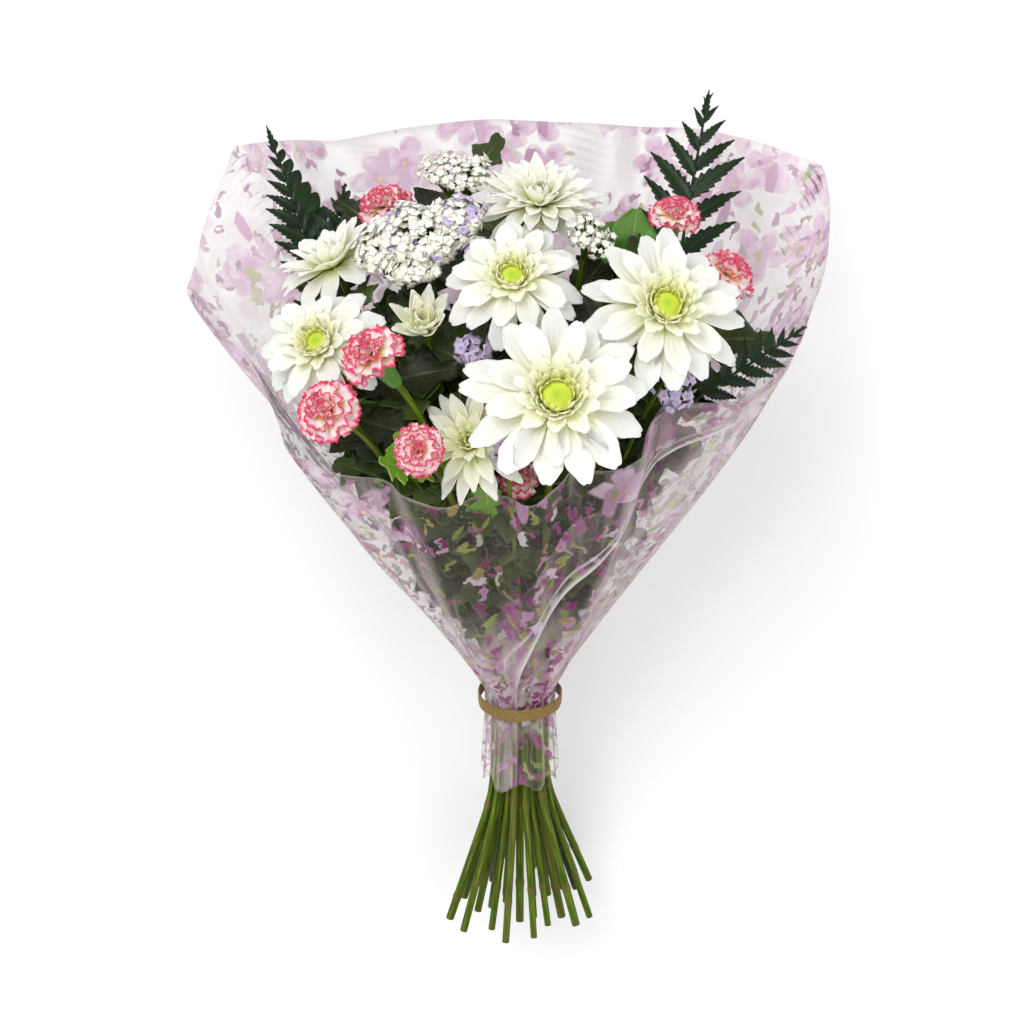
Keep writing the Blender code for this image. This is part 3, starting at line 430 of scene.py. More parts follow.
def carnationFinish():
    # Spray carnation petal, grown: soft and matt, peach in the throat, pale pink across, and a crimson rim
    # that bleeds inwards in streaks.
    finish, tree, shader = startFinish("two-tone carnation petal", Roughness=0.62, Subsurface_Weight=0.3,
                                       Subsurface_Scale=0.002, Sheen_Weight=0.3)
    place = addNode(tree, "SeparateXYZ", links={0: addNode(tree, "UVMap")})
    stretch = addNode(tree, "CombineXYZ", links={0: addNode(
        tree, "Math", {"operation": "MULTIPLY", 1: 11.0}, {0: place}),
        1: addNode(tree, "Math", {"operation": "MULTIPLY", 1: 2.0}, {0: place.outputs[1]}),
        2: addNode(tree, "Math", {"operation": "MULTIPLY", 1: 40.0},
                   {0: addNode(tree, "Attribute", {"attribute_name": "tint"}).outputs["Fac"]})})
    streaks = addNode(tree, "TexNoise", {"Scale": 1.0, "Detail": 2.0}, {"Vector": stretch})
    edge = addNode(tree, "Math", {"operation": "MULTIPLY_ADD", 1: 0.34},
                   {0: streaks, 2: place.outputs[1]})
    edge = addNode(tree, "Math", {"operation": "SUBTRACT", 1: 0.13}, {0: edge})
    colour = addNode(tree, "ValToRGB", {"stops": (
        (0.20, "#EFAE6C"), (0.42, "#F9CFA4"), (0.62, "#FFF3EC"), (0.84, "#FCD0D8"), (0.965, "#D42858"))},
        {0: edge})
    tree.links.new(colour.outputs[0], shader.inputs["Base Color"])
    return finish


def papery(name, low, mid, rim):
    # Statice calyx: dry and papery, nearly matt, coloured towards the rim; tint varies it a little.
    finish, tree, shader = startFinish(name, Roughness=0.7, Subsurface_Weight=0.15, Subsurface_Scale=0.001,
                                       Subsurface_Radius=(1, 0.97, 0.85))
    place = addNode(tree, "SeparateXYZ", links={0: addNode(tree, "UVMap")})
    tint = addNode(tree, "Attribute", {"attribute_name": "tint"})
    shifted = addNode(tree, "Math", {"operation": "ADD"}, {0: place.outputs[1], 1: tint.outputs["Fac"]})
    colour = addNode(tree, "ValToRGB", {"stops": ((0.05, low), (0.45, mid), (1.0, rim))},
                     {0: shifted})
    tree.links.new(colour.outputs[0], shader.inputs["Base Color"])
    return finish


def rubberFinish():
    # Natural rubber band, extruded and cut: satin tan with a fine dusty bloom.
    finish, tree, shader = startFinish("tan natural rubber", Roughness=0.55, IOR=1.52, Specular_IOR_Level=0.3)
    dust = addNode(tree, "TexNoise", {"Scale": 900.0, "Detail": 4.0},
                   {"Vector": addNode(tree, "TexCoord").outputs["Object"]})
    colour = addNode(tree, "ValToRGB", {"stops": ((0.3, "#6E5728"), (0.6, "#866C36"), (0.9, "#9A804A"))},
                     {0: dust})
    bump = addNode(tree, "Bump", {"Strength": 0.2, "Distance": 0.0002}, {"Height": dust})
    tree.links.new(colour.outputs[0], shader.inputs["Base Color"])
    tree.links.new(bump.outputs[0], shader.inputs["Normal"])
    return finish


petalSkin, eyeSkin, stemSkin, carnationSkin = petalFinish(), eyeFinish(), stemFinish(), carnationFinish()
mumLeafSkin = leafFinish("chrysanthemum leaf", "#1A2207", "#4C611D", "#586836")
fernSkin = leafFinish("leatherleaf fern", "#0A1F06", "#1D3E10", "#2A501E", 0.40)
brightLeafSkin = leafFinish("young filler leaf", "#5A8F1E", "#A5CB45", "#A9C26C")
calyxSkin = leafFinish("waxy carnation calyx", "#3C6A24", "#6E9A45", "#7FA25A")
whitePaper = papery("white papery statice", "#F1F0CE", "#FFFCEA", "#FFFEF4")
lilacPaper = papery("lilac papery statice", "#9AA66A", "#BFA9D6", "#D6C8E6")


# ---- where every stem runs, from the same rule as the solids

mums = {
    "mum_front": dict(centre=(0.016, -0.083, 0.2025), facing=(0.04, -0.73, 0.68), radius=0.043, kind="open", turn=10),
    "mum_right": dict(centre=(0.066, -0.040, 0.228), facing=(0.22, -0.66, 0.72), radius=0.040, kind="open", turn=11),
    "mum_middle": dict(centre=(-0.004, -0.030, 0.238), facing=(-0.05, -0.62, 0.78), radius=0.032, kind="drooping",
                       turn=0),
    "mum_left_low": dict(centre=(-0.093, -0.036, 0.208), facing=(-0.36, -0.60, 0.71), radius=0.031, kind="drooping",
                         turn=12),
    "mum_left_high": dict(centre=(-0.089, 0.024, 0.223), facing=(-0.42, 0.02, 0.90), radius=0.029, kind="cupped",
                          turn=3),
    "mum_back": dict(centre=(0.009, 0.037, 0.249), facing=(0.02, -0.25, 0.97), radius=0.031, kind="shaggy", turn=10),
    "mum_bud": dict(centre=(-0.044, -0.019, 0.207), facing=(-0.15, -0.45, 0.88), radius=0.016, kind="bud", turn=0),
    "mum_spider": dict(centre=(-0.023, -0.058, 0.168), facing=(-0.15, -0.75, 0.62), radius=0.022, kind="spider",
                       turn=4),
}
carnations = {
    "carnation_left": dict(centre=(-0.087, -0.071, 0.190), facing=(-0.45, -0.62, 0.64), radius=0.0155),
    "carnation_leaning": dict(centre=(-0.067, -0.066, 0.215), facing=(-0.52, -0.30, 0.80), radius=0.0150),
    "carnation_low": dict(centre=(-0.046, -0.082, 0.176), facing=(-0.20, -0.80, 0.56), radius=0.0120),
    "carnation_back_left": dict(centre=(-0.065, 0.054, 0.240), facing=(-0.25, -0.10, 0.96), radius=0.0135),
    "carnation_back_right": dict(centre=(0.073, 0.034, 0.243), facing=(0.15, -0.15, 0.97), radius=0.0125),
    "carnation_right": dict(centre=(0.098, 0.020, 0.219), facing=(0.50, -0.15, 0.85), radius=0.0140),
    "carnation_hidden": dict(centre=(-0.001, -0.036, 0.139), facing=(0.05, -0.60, 0.80), radius=0.0100),
}
ferns = {
    "fern_left": dict(foot=(-0.092, 0.066, 0.172), tip=(-0.127, 0.128, 0.254), face=(0.25, -0.85, 0.45), pairs=5,
                      reach=0.026),
    "fern_right": dict(foot=(0.074, 0.050, 0.190), tip=(0.094, 0.127, 0.273), face=(-0.1, -0.82, 0.55), pairs=6,
                       reach=0.030),
    "fern_low_right": dict(foot=(0.090, -0.003, 0.170), tip=(0.136, 0.012, 0.196), face=(0.2, -0.9, 0.35), pairs=3,
                           reach=0.014),
    "fern_middle_left": dict(foot=(-0.090, 0.060, 0.190), tip=(-0.086, 0.086, 0.240), face=(0.1, -0.9, 0.4), pairs=3,
                             reach=0.020),
}
fillers = {
    "statice_white": dict(centre=(-0.046, 0.012, 0.243), facing=(-0.1, -0.45, 0.88), half=(0.022, 0.016, 0.006)),
    "filler_round": dict(centre=(-0.031, 0.062, 0.254), facing=(0, -0.3, 0.95), half=(0.015, 0.011, 0.006)),
    "filler_buds": dict(centre=(0.031, 0.012, 0.243), facing=(0.1, -0.4, 0.9), half=(0.006, 0.010, 0.005)),
    "statice_lilac_middle": dict(centre=(-0.022, -0.034, 0.203), facing=(-0.2, -0.8, 0.6), half=(0.005, 0.004, 0.003)),
    "statice_lilac_front": dict(centre=(-0.006, -0.072, 0.170), facing=(0, -0.6, 0.75), half=(0.004, 0.006, 0.003)),
    "statice_lilac_right": dict(centre=(0.070, -0.032, 0.187), facing=(0.3, -0.8, 0.5), half=(0.006, 0.009, 0.003)),
}
leafySprigs = {
    "leafy_left": dict(tip=(-0.053, -0.052, 0.150), facing=(-0.5, -0.5, 0.7)),
    "leafy_front": dict(tip=(-0.015, -0.045, 0.124), facing=(-0.2, -0.7, 0.7)),
    "leafy_right": dict(tip=(0.052, 0.030, 0.226), facing=(0.1, -0.3, 0.95)),
}
# share of the way from tie to bloom, heading, length, half width
stemLeaves = {
    "mum_front": ((0.50, (0.7, 0.5, 0.55), 0.034, 0.012),),
    "mum_right": ((0.55, (0.5, 0.7, 0.5), 0.042, 0.014), (0.76, (0.4, 0.8, 0.45), 0.036, 0.012)),
    "mum_left_low": ((0.60, (-0.85, -0.1, 0.5), 0.046, 0.015), (0.45, (-0.5, -0.6, 0.6), 0.036, 0.012)),
    "mum_middle": ((0.66, (-0.7, 0.35, 0.6), 0.030, 0.011), (0.70, (0.75, -0.2, 0.6), 0.034, 0.012)),
    "mum_bud": ((0.72, (-0.75, -0.2, 0.6), 0.030, 0.011),),
    "mum_spider": ((0.55, (0.5, -0.4, 0.75), 0.030, 0.010),),
    "mum_left_high": ((0.60, (-0.8, 0.5, 0.4), 0.050, 0.015), (0.80, (-0.7, 0.6, 0.3), 0.036, 0.012)),
    "mum_back": ((0.70, (0.1, 0.9, 0.5), 0.045, 0.014), (0.72, (-0.6, 0.7, 0.5), 0.040, 0.013)),
    "leafy_left": ((0.95, (-0.2, -0.2, 0.95), 0.026, 0.010), (0.97, (-0.5, -0.6, 0.6), 0.024, 0.010)),
    "leafy_front": ((0.96, (-0.08, -0.30, 0.90), 0.026, 0.009), (0.94, (-0.6, 0.1, 0.7), 0.016, 0.008)),
    "leafy_right": ((0.75, (-0.2, 0.85, 0.5), 0.032, 0.012), (0.97, (0.15, 0.3, 0.95), 0.024, 0.011),
                    (0.97, (-0.6, 0.1, 0.75), 0.022, 0.010)),
}
cup = {"depth": 0.26, "bracts": 14}  # depth as a share of the bloom's radius
tie = {"pitch": 0.00465, "top": 0.012, "foot": -0.121, "spread": 3.1, "skirtEnd": -0.050, "thinStem": 0.0017,
       "mumStem": 0.0021, "carnationStem": 0.0019}


def stemEnds():
    # the underside of each bloom and the way its stem meets it
    ends = {}
    for name, spec in mums.items():
        way = unit(spec["facing"])
        ends[name] = (np.array(spec["centre"]) - way * (cup["depth"] * spec["radius"] + 0.0015), way)
    for name, spec in carnations.items():
        way = unit(spec["facing"])
        ends[name] = (np.array(spec["centre"]) - way * 1.40 * spec["radius"], way)
    for name, spec in ferns.items():
        ends[name] = (np.array(spec["foot"]), unit(np.array(spec["tip"]) - spec["foot"]))
    for name, spec in fillers.items():
        way = unit(spec["facing"])
        ends[name] = (np.array(spec["centre"]) - way * (spec["half"][2] + 0.0003), way)
    for name, spec in leafySprigs.items():
        ends[name] = (np.array(spec["tip"]), unit(spec["facing"]))
    return ends


def tiePlaces(targets):
    # points of a hexagonal net nearest the middle, swapped between stems until none cross
    net = [(tie["pitch"] * (i + j / 2), tie["pitch"] * j * math.sqrt(3) / 2)
           for i in range(-5, 6) for j in range(-5, 6)]
    net.sort(key=lambda p: (round(math.hypot(*p), 7), math.atan2(p[1], p[0])))
    places, wanted = np.array(net[:len(targets)]), np.array([t[:2] for t in targets])
    order, swapped = list(range(len(targets))), True
    while swapped:
        swapped = False
        for i in range(len(order)):
            for j in range(i):
                if np.dot(places[order[i]] - places[order[j]], wanted[i] - wanted[j]) < -1e-12:
                    order[i], order[j] = order[j], order[i]
                    swapped = True
    return places[order]


def stemRoutes():
    # From the cut end to the tie a soft bend; above it a cubic curve with control points 0.38 of the reach
    # up from the tie and 0.20 of it back from the bloom. Returns lower and upper halves
    ends = stemEnds()
    draw = random.Random(bunch["seed"])
    routes = {}
    for (px, py), (name, (top, way)) in zip(tiePlaces([top * (0.2 / top[2]) for top, way in ends.values()]),
                                            ends.items()):
        foot = tie["foot"] + draw.uniform(-0.007, 0.006)
        start = np.array((px, py, tie["top"]))
        reach = np.linalg.norm(top - start)
        first = start + unit(unit(top - start) + np.array((0, 0, 0.30))) * reach * 0.38
        second = top - way * reach * 0.20
        t = np.linspace(0, 1, 26)[:, None]
        upper = ((1 - t) ** 3 * start + 3 * (1 - t) ** 2 * t * first + 3 * (1 - t) * t * t * second + t ** 3 * top)
        t = np.linspace(0, 1, 22)[:-1, None]
        cut = np.array((px * tie["spread"], py * tie["spread"] * 0.85, foot))
        skirt = np.array((px * 1.13, py * 1.13, tie["skirtEnd"] - 0.004))
        knots = np.array((cut, skirt, start))
        lower = np.stack([np.interp(t[:, 0] * (start[2] - foot) + foot, knots[:, 2], knots[:, k])
                          for k in range(3)], -1)
        for _ in range(4):  # soften the bend at the skirt
            lower[1:-1] = (lower[:-2] + 2 * lower[1:-1] + lower[2:]) / 4
        routes[name] = (lower, upper)
    return routes


routes = stemRoutes()


def stemTube(name, radius, taper=0.8, extra=None, joints=(0.045, 0.075)):
    # the stem with a slightly swollen, browner ring at each leaf joint
    lower, upper = routes[name]
    path = np.concatenate((lower, upper if extra is None else np.concatenate((upper[:-1], extra))))
    fine = np.linspace(0, 1, 4 * len(path))
    share = np.linspace(0, 1, len(path))
    path = np.stack([np.interp(fine, share, path[:, k]) for k in range(3)], -1)
    distance = walked(path)
    radii = radius * np.interp(distance / distance[-1], (0, 0.35, 1), (1, 1, taper))
    tint = 0.10 + 0.10 * np.sin(distance * 90 + noise.uniform(0, 6)) + 0.25 * (noise.uniform() > 0.85)
    at = noise.uniform(0.012, 0.03)
    while at < distance[-1] - 0.02:
        near = np.exp(-((distance - at) / 0.0016) ** 2)
        radii = radii * (1 + 0.16 * near)
        tint = np.maximum(tint, 0.85 * near)
        at += noise.uniform(*joints)
    tint = np.maximum(tint, 0.5 * np.exp(-distance / 0.002))
    return tube(path, radii, 10, np.clip(tint, 0, 1))


def leafOnStem(name, spec, outline, rows=29, thick=0.0006, finish=1, **shape):
    share, heading, length, half = spec
    upper = routes[name][1]
    root = np.array([np.interp(share, np.linspace(0, 1, len(upper)), upper[:, k]) for k in range(3)])
    face = unit((root[0], root[1], 1e-9)) * 0.2 + np.array((0, -0.5, 0.7))
    out = unit(heading)
    across = -unit(np.cross(out, unit(face)))
    return blades([root], [out], [across], 12, 30, length, half, outline, rows=rows, cols=9, thick=thick,
                  finish=finish, **shape)


# ---- chrysanthemums

# rings of a bloom: count, rise and droop in degrees, root, length, half width and height as shares of the
# radius, and how green; the kinds of ring give a petal's outline and the rest of its shape
broad = petalOutline(0.28, 0.68, 0.74, 2.6)
slender = petalOutline(0.32, 0.60, 0.46, 2.0)
stubby = petalOutline(0.40, 0.60, 0.70, 2.2)
ringKinds = {
    "outer": dict(outline=broad, rows=17, cols=13, cup=0.20, rib=0.055, ribs=4.0, wave=0.10, roundness=0.20,
                  notch=0.035),
    "inner": dict(outline=slender, rows=13, cols=9, cup=0.35, rib=0.07, wave=0.10, roundness=0.16),
    "cup": dict(outline=stubby, rows=11, cols=9, cup=0.35, rib=0.05, wave=0.08, roundness=0.30, notch=0.06),
}
bloomKinds = {
    "open": (
        ("outer", 13, 0, 14, 0.17, 0.84, 0.158, 0.00, 0.0), ("outer", 9, 12, 18, 0.17, 0.66, 0.145, 0.02, 0.0),
        ("cup", 10, 22, -26, 0.16, 0.40, 0.105, 0.03, 0.10), ("cup", 12, 38, -40, 0.16, 0.31, 0.084, 0.03, 0.40),
        ("cup", 13, 52, -40, 0.16, 0.24, 0.062, 0.03, 0.75), ("cup", 13, 66, -40, 0.15, 0.17, 0.046, 0.03, 1.0)),
    "drooping": (
        ("outer", 12, -3, 32, 0.17, 0.88, 0.175, 0.00, 0.0), ("outer", 9, 14, 26, 0.17, 0.70, 0.160, 0.02, 0.0),
        ("cup", 10, 24, -22, 0.16, 0.44, 0.110, 0.03, 0.10), ("cup", 12, 40, -38, 0.16, 0.33, 0.090, 0.03, 0.40),
        ("cup", 13, 54, -40, 0.16, 0.25, 0.066, 0.03, 0.75), ("cup", 13, 67, -40, 0.15, 0.18, 0.048, 0.03, 1.0)),
    "cupped": (
        ("outer", 10, 8, 26, 0.17, 0.90, 0.190, 0.00, 0.0), ("outer", 9, 34, 12, 0.17, 0.74, 0.180, 0.02, 0.0),
        ("inner", 8, 48, 4, 0.15, 0.60, 0.150, 0.04, 0.0), ("cup", 12, 62, -30, 0.17, 0.40, 0.100, 0.02, 0.0),
        ("cup", 8, 70, -60, 0.12, 0.30, 0.080, 0.02, 0.3)),
    "shaggy": (
        ("inner", 15, 2, 24, 0.17, 0.90, 0.125, 0.00, 0.0), ("inner", 14, 16, 18, 0.17, 0.80, 0.120, 0.02, 0.0),
        ("inner", 13, 30, 12, 0.16, 0.70, 0.110, 0.04, 0.0), ("inner", 12, 44, 4, 0.14, 0.58, 0.100, 0.05, 0.05),
        ("inner", 10, 58, -6, 0.12, 0.48, 0.085, 0.05, 0.1), ("cup", 9, 70, -50, 0.10, 0.36, 0.070, 0.05, 0.2)),
    "bud": (
        ("inner", 8, 44, -10, 0.12, 1.22, 0.250, 0.00, 0.20), ("inner", 7, 58, -10, 0.12, 1.05, 0.230, 0.02, 0.25),
        ("inner", 5, 74, -8, 0.10, 0.90, 0.200, 0.03, 0.4)),
    "spider": (
        ("inner", 12, 12, 36, 0.15, 1.18, 0.160, 0.00, 0.20), ("inner", 11, 30, 28, 0.15, 0.96, 0.150, 0.03, 0.25),
        ("inner", 9, 48, 8, 0.14, 0.66, 0.115, 0.05, 0.4), ("cup", 10, 64, -14, 0.12, 0.42, 0.080, 0.06, 0.6),
        ("cup", 8, 76, -24, 0.08, 0.30, 0.060, 0.06, 0.9)),
}


def bloomPetals(spec):
    # rings of petals, each offset by half a step from the one below it, with every petal a little different
    axes, radius, centre = headAxes(spec["facing"]), spec["radius"], np.array(spec["centre"])
    parts = []
    for level, (kind, count, rise, droop, root, length, half, lift, green) in enumerate(bloomKinds[spec["kind"]]):
        jitter = lambda size: size * noise.uniform(-1, 1, count)
        heading = np.radians(360 * (np.arange(count) + 0.5 * level) / count + spec["turn"] + jitter(5.5))
        out, across = spokes(axes, heading)
        start = centre + axes[:, 2] * (lift - 0.05) * radius + out * root * radius
        parts.append(blades(start, out, across, rise + jitter(7), droop + jitter(10),
                            radius * length * (1 + jitter(0.09)), radius * half * (1 + jitter(0.12)),
                            sway=jitter(0.09), roll=jitter(0.28), thick=0.0004,
                            tint=np.clip(green + jitter(0.06), 0, 1), **ringKinds[kind]))
    return parts


eye = {"share": 0.155, "florets": 210, "floretSize": 0.072}  # shares of the bloom's and of the eye's radius


def discEye(spec):
    # Dome of height 0.5 of its radius, closed below; its surface swells by (1 - (d / s)^2) at distance d
    # from each point of a sunflower spiral
    axes, radius, centre = headAxes(spec["facing"]), eye["share"] * spec["radius"], np.array(spec["centre"])
    florets = eye["florets"]
    rows, cols = 30, 96  # of points, from the middle to the rim and round
    r = np.linspace(0, 1, rows)[:, None]
    a = np.linspace(0, 2 * math.pi, cols, endpoint=False)[None]
    x, y = r * np.cos(a), r * np.sin(a)
    k = np.arange(florets)
    seeds = np.sqrt((k + 0.5) / florets)[:, None] * np.stack((np.cos(2.39996 * k), np.sin(2.39996 * k)), -1)
    gap = np.min((x[..., None] - seeds[:, 0]) ** 2 + (y[..., None] - seeds[:, 1]) ** 2, -1)
    bump = np.clip(1 - gap / eye["floretSize"] ** 2, 0, 1)
    height = 0.52 * (1 - r ** 2 * 0.8) - 0.10 * np.exp(-(r / 0.3) ** 2) + 0.10 * bump * (0.5 + 0.5 * r)
    local = np.stack(np.broadcast_arrays(x, y, height), -1) * radius
    bottom = np.stack(np.broadcast_arrays(x[-1:], y[-1:], -0.02), -1) * radius
    pole = bottom * (0.001, 0.001, 1)
    local = np.concatenate((local, bottom, pole))
    points = centre + axes[:, 2] * 0.012 * spec["radius"] + local @ axes.T
    # tint: the eye turns yellower towards its rim, and the floret bumps add painted shade, darker in the gaps and
    # lighter on the tips
    tint = np.concatenate((bump * 0.30 + 0.30 * r * bump + 0.40 * r ** 1.5, np.zeros((2, cols)))).ravel()
    return meshPart(points, gridFaces(rows + 2, cols, closed=True), np.zeros((len(tint), 2)), tint)


def greenCup(spec):
    # the turned cup under a bloom and a ring of short bracts that hold the petals
    axes, radius, centre = headAxes(spec["facing"]), spec["radius"], np.array(spec["centre"])
    way = axes[:, 2]
    t = np.linspace(0, 1, 9)
    path = centre - way[None] * ((cup["depth"] * radius + 0.0015) * (1 - t) + 0.07 * radius * t)[:, None]
    bowl = tube(path, np.interp(t, (0, 0.35, 0.8, 1), (0.0024, 0.10 * radius, 0.19 * radius, 0.17 * radius)), 16, 0.0)
    heading = np.arange(cup["bracts"]) * 2 * math.pi / cup["bracts"]
    out, across = spokes(axes, heading)
    bracts = blades(centre - way * 0.16 * radius + out * 0.13 * radius, out, across, 50, 20, 0.16 * radius,
                    0.045 * radius, petalOutline(0.8, 0.4, 0.2, 1.5), rows=5, cols=3, cup=0.2, thick=0.0004,
                    tint=0.4, finish=1)
    return [bowl, bracts]


lobedLeaf = lobedOutline(0.10, 0.55, 0.16, 3.6, 0.46)
roundLeaf = petalOutline(0.20, 0.50, 0.16, 1.7)
leafShape = dict(cup=0.12, wave=0.14, waves=1.7, rib=0.03)


film = {"neckRadius": 0.0166, "pleats": 11, "pleatDepth": 0.0011, "overlap": 34.0, "layerGap": 0.0016,
        "skirt": 0.043, "tieTop": 0.004, "thick": 0.0002, "rows": 84, "columns": 400, "flat": (0.42, 0.42),
        "fold": 0.006, "creases": 46, "creaseDepth": 0.0014, "patternHole": 0.09}
filmRim = np.array((  # angle from the front towards +X, distance from the axis, height
    (-180, 0.187, 0.235), (-151, 0.193, 0.233), (-130, 0.191, 0.243), (-117, 0.175, 0.203),
    (-111, 0.171, 0.195), (-104, 0.152, 0.183), (-94, 0.131, 0.172), (-80, 0.112, 0.157),
    (-63, 0.096, 0.144), (-51, 0.086, 0.142), (-40, 0.076, 0.142), (-28, 0.068, 0.139),
    (-9, 0.059, 0.138), (0, 0.058, 0.139), (18, 0.059, 0.145), (43, 0.065, 0.153),
    (55, 0.070, 0.164), (67, 0.077, 0.171), (81, 0.094, 0.170), (94, 0.119, 0.170),
    (105, 0.148, 0.176), (129, 0.190, 0.238), (151, 0.194, 0.236), (180, 0.187, 0.235)))


def filmPower(a, climb):
    # the radius of the film goes from the neck to the rim by this power of the share climbed
    front = np.maximum(0, np.cos(a))
    return (1.12 - 0.12 * np.sin(a) - 0.38 * climb ** 2 * (1 - front)
            - (0.36 + 0.33 * np.minimum(1, 1.8 * climb)) * front)


def hasRoom(points):
    # true where all points lie inside the film, by its rule for radius and height, and none in the room that
    # a bloom takes: a cylinder along its axis, from 0.3 of its radius behind it to 0.10 m before it
    angle = np.degrees(np.arctan2(points[:, 0], -points[:, 1]))
    reach, top = (np.interp(angle, filmRim[:, 0], filmRim[:, k]) for k in (1, 2))
    climb = np.clip((points[:, 2] - film["tieTop"]) / (top - film["tieTop"]), 0.001, 1.3)
    wall = film["neckRadius"] + (reach - film["neckRadius"]) * climb ** filmPower(np.radians(angle), climb)
    if (np.hypot(points[:, 0], points[:, 1]) > wall * 0.93 - 0.001).any() or points[:, 2].min() < 0.022:
        return False
    for group in (mums, carnations, fillers):
        for spec in group.values():
            away = points - np.array(spec["centre"])
            ahead = away @ unit(spec["facing"])
            radius = spec.get("radius", 0.014)
            beside = np.linalg.norm(away - ahead[:, None] * unit(spec["facing"]), axis=1)
            if ((ahead > -0.3 * radius) & (ahead < 0.10) & (beside < radius * 0.92)).any():
                return False
    return True


def spareLeaves(name, count, low=0.20, high=0.90, size=(0.030, 0.052), bright=(-0.40, 0.45)):
    # more foliage on a stem than the solids carry, where it closes the gaps of the bunch. A leaf that finds
    # no room is tried again elsewhere, and most reach sideways, as they do in a bunch that lies down
    parts = []
    for _ in range(count * 8):
        a = noise.uniform(0, 2 * math.pi)
        heading = (1.6 * math.cos(a), math.sin(a), noise.uniform(0.0, 1.3))
        length = noise.uniform(*size)
        leaf = leafOnStem(name, (noise.uniform(low, high), heading, length, length * noise.uniform(0.30, 0.38)),
                          lobedLeaf, tint=noise.uniform(*bright), sway=noise.uniform(-0.12, 0.12), **leafShape)
        if hasRoom(leaf["points"][::3]):
            parts.append(leaf)
        if len(parts) == count:
            break
    return parts


for name, spec in mums.items():
    label = name.replace("_", "-")
    buildPiece(label + "-petals", bloomPetals(spec), [petalSkin], [f"{name}_petals"])
    if spec["kind"] not in ("bud", "spider"):
        buildPiece(label + "-eye", [discEye(spec)], [eyeSkin], [f"{name}_eye"])
    parts = [stemTube(name, tie["mumStem"])] + greenCup(spec)
    parts += [leafOnStem(name, leafSpec, lobedLeaf, tint=noise.uniform(-0.2, 0.2), **leafShape)
              for leafSpec in stemLeaves[name]]
    parts += spareLeaves(name, 20, 0.10, 0.60, (0.040, 0.062)) + spareLeaves(name, 22, 0.45, 0.95)
    buildPiece(label + "-stem", parts, [stemSkin, mumLeafSkin], [f"{name}_stem"])
print("chrysanthemums are made")


# ---- spray carnations

carnationRings = (  # count, rise, droop, root, length, half width, height as shares of the radius
    (5, 0, 20, 0.12, 0.92, 0.62, -0.08), (5, 20, 16, 0.12, 0.84, 0.56, -0.02), (5, 40, 10, 0.10, 0.74, 0.48, 0.02),
    (4, 58, 0, 0.08, 0.66, 0.44, 0.04), (3, 76, -10, 0.04, 0.58, 0.38, 0.06), (2, 86, -16, 0.02, 0.50, 0.26, 0.06),
)


def carnationPetals(spec):
    axes, radius, centre = headAxes(spec["facing"]), spec["radius"], np.array(spec["centre"])
    parts = []
    for level, (count, rise, droop, root, length, half, lift) in enumerate(carnationRings):
        jitter = lambda size: size * noise.uniform(-1, 1, count)
        heading = np.radians(360 * (np.arange(count) + 0.5 * level) / count + 17 * level + jitter(9))
        out, across = spokes(axes, heading)
        start = centre + axes[:, 2] * lift * radius + out * root * radius
        parts.append(blades(start, out, across, rise + jitter(8), droop + jitter(8),
                            radius * length * (1 + jitter(0.08)), radius * half * (1 + jitter(0.1)),
                            petalOutline(0.20, 0.92, 0.9, 2.0), rows=13, cols=19, cup=0.06, wave=0.0, roundness=0.24,
                            fringe=0.07, ruffle=0.17, ruffles=2.6, roll=jitter(0.2), thick=0.0003,
                            tint=noise.uniform(0, 1, count)))
    return parts


def calyxParts(spec):
    # a tube that widens from the stem to the petals, split at its rim into five pointed teeth
    axes, radius, centre = headAxes(spec["facing"]), spec["radius"], np.array(spec["centre"])
    way = axes[:, 2]
    t = np.linspace(0, 1, 12)
    path = centre - way[None] * radius * (1.46 * (1 - t) + 0.42 * t)[:, None]
    body = tube(path, np.interp(t, (0, 0.12, 0.55, 1), (0.0022, 0.0034, 0.29 * radius, 0.31 * radius)), 18,
                0.1, finish=2)
    heading = np.arange(5) * 2 * math.pi / 5 + 0.3
    out, across = spokes(axes, heading)
    teeth = blades(centre - way * 0.46 * radius + out * 0.27 * radius, out, across, 78, 14, 0.40 * radius,
                   0.17 * radius, petalOutline(0.95, 0.3, 0.1, 1.4), rows=7, cols=5, cup=0.3, thick=0.0005,
                   tint=0.2, finish=2)
    return [body, teeth]


for name, spec in carnations.items():
    label = name.replace("_", "-")
    buildPiece(label + "-petals", carnationPetals(spec), [carnationSkin], [f"{name}_petals"])
    parts = [stemTube(name, tie["carnationStem"], 0.9)] + calyxParts(spec)
    parts += spareLeaves(name, 18, 0.15, 0.97, (0.028, 0.050))
    buildPiece(label + "-stem", parts, [stemSkin, mumLeafSkin, calyxSkin], [f"{name}_stem"])
print("carnations are made")


# ---- ferns, fillers and leafy stems

frondLooks = {
    "fern_left": dict(pairs=16, start=-0.55, reach=0.84, half=0.22, smoothRight=True),
    "fern_right": dict(pairs=11, start=-0.60, reach=1.14, half=0.165, smoothRight=False),
    "fern_low_right": dict(pairs=9, start=-0.35, reach=1.15, half=0.22, smoothRight=False),
    "fern_middle_left": dict(pairs=11, start=-0.60, reach=1.00, half=0.22, smoothRight=True),
}


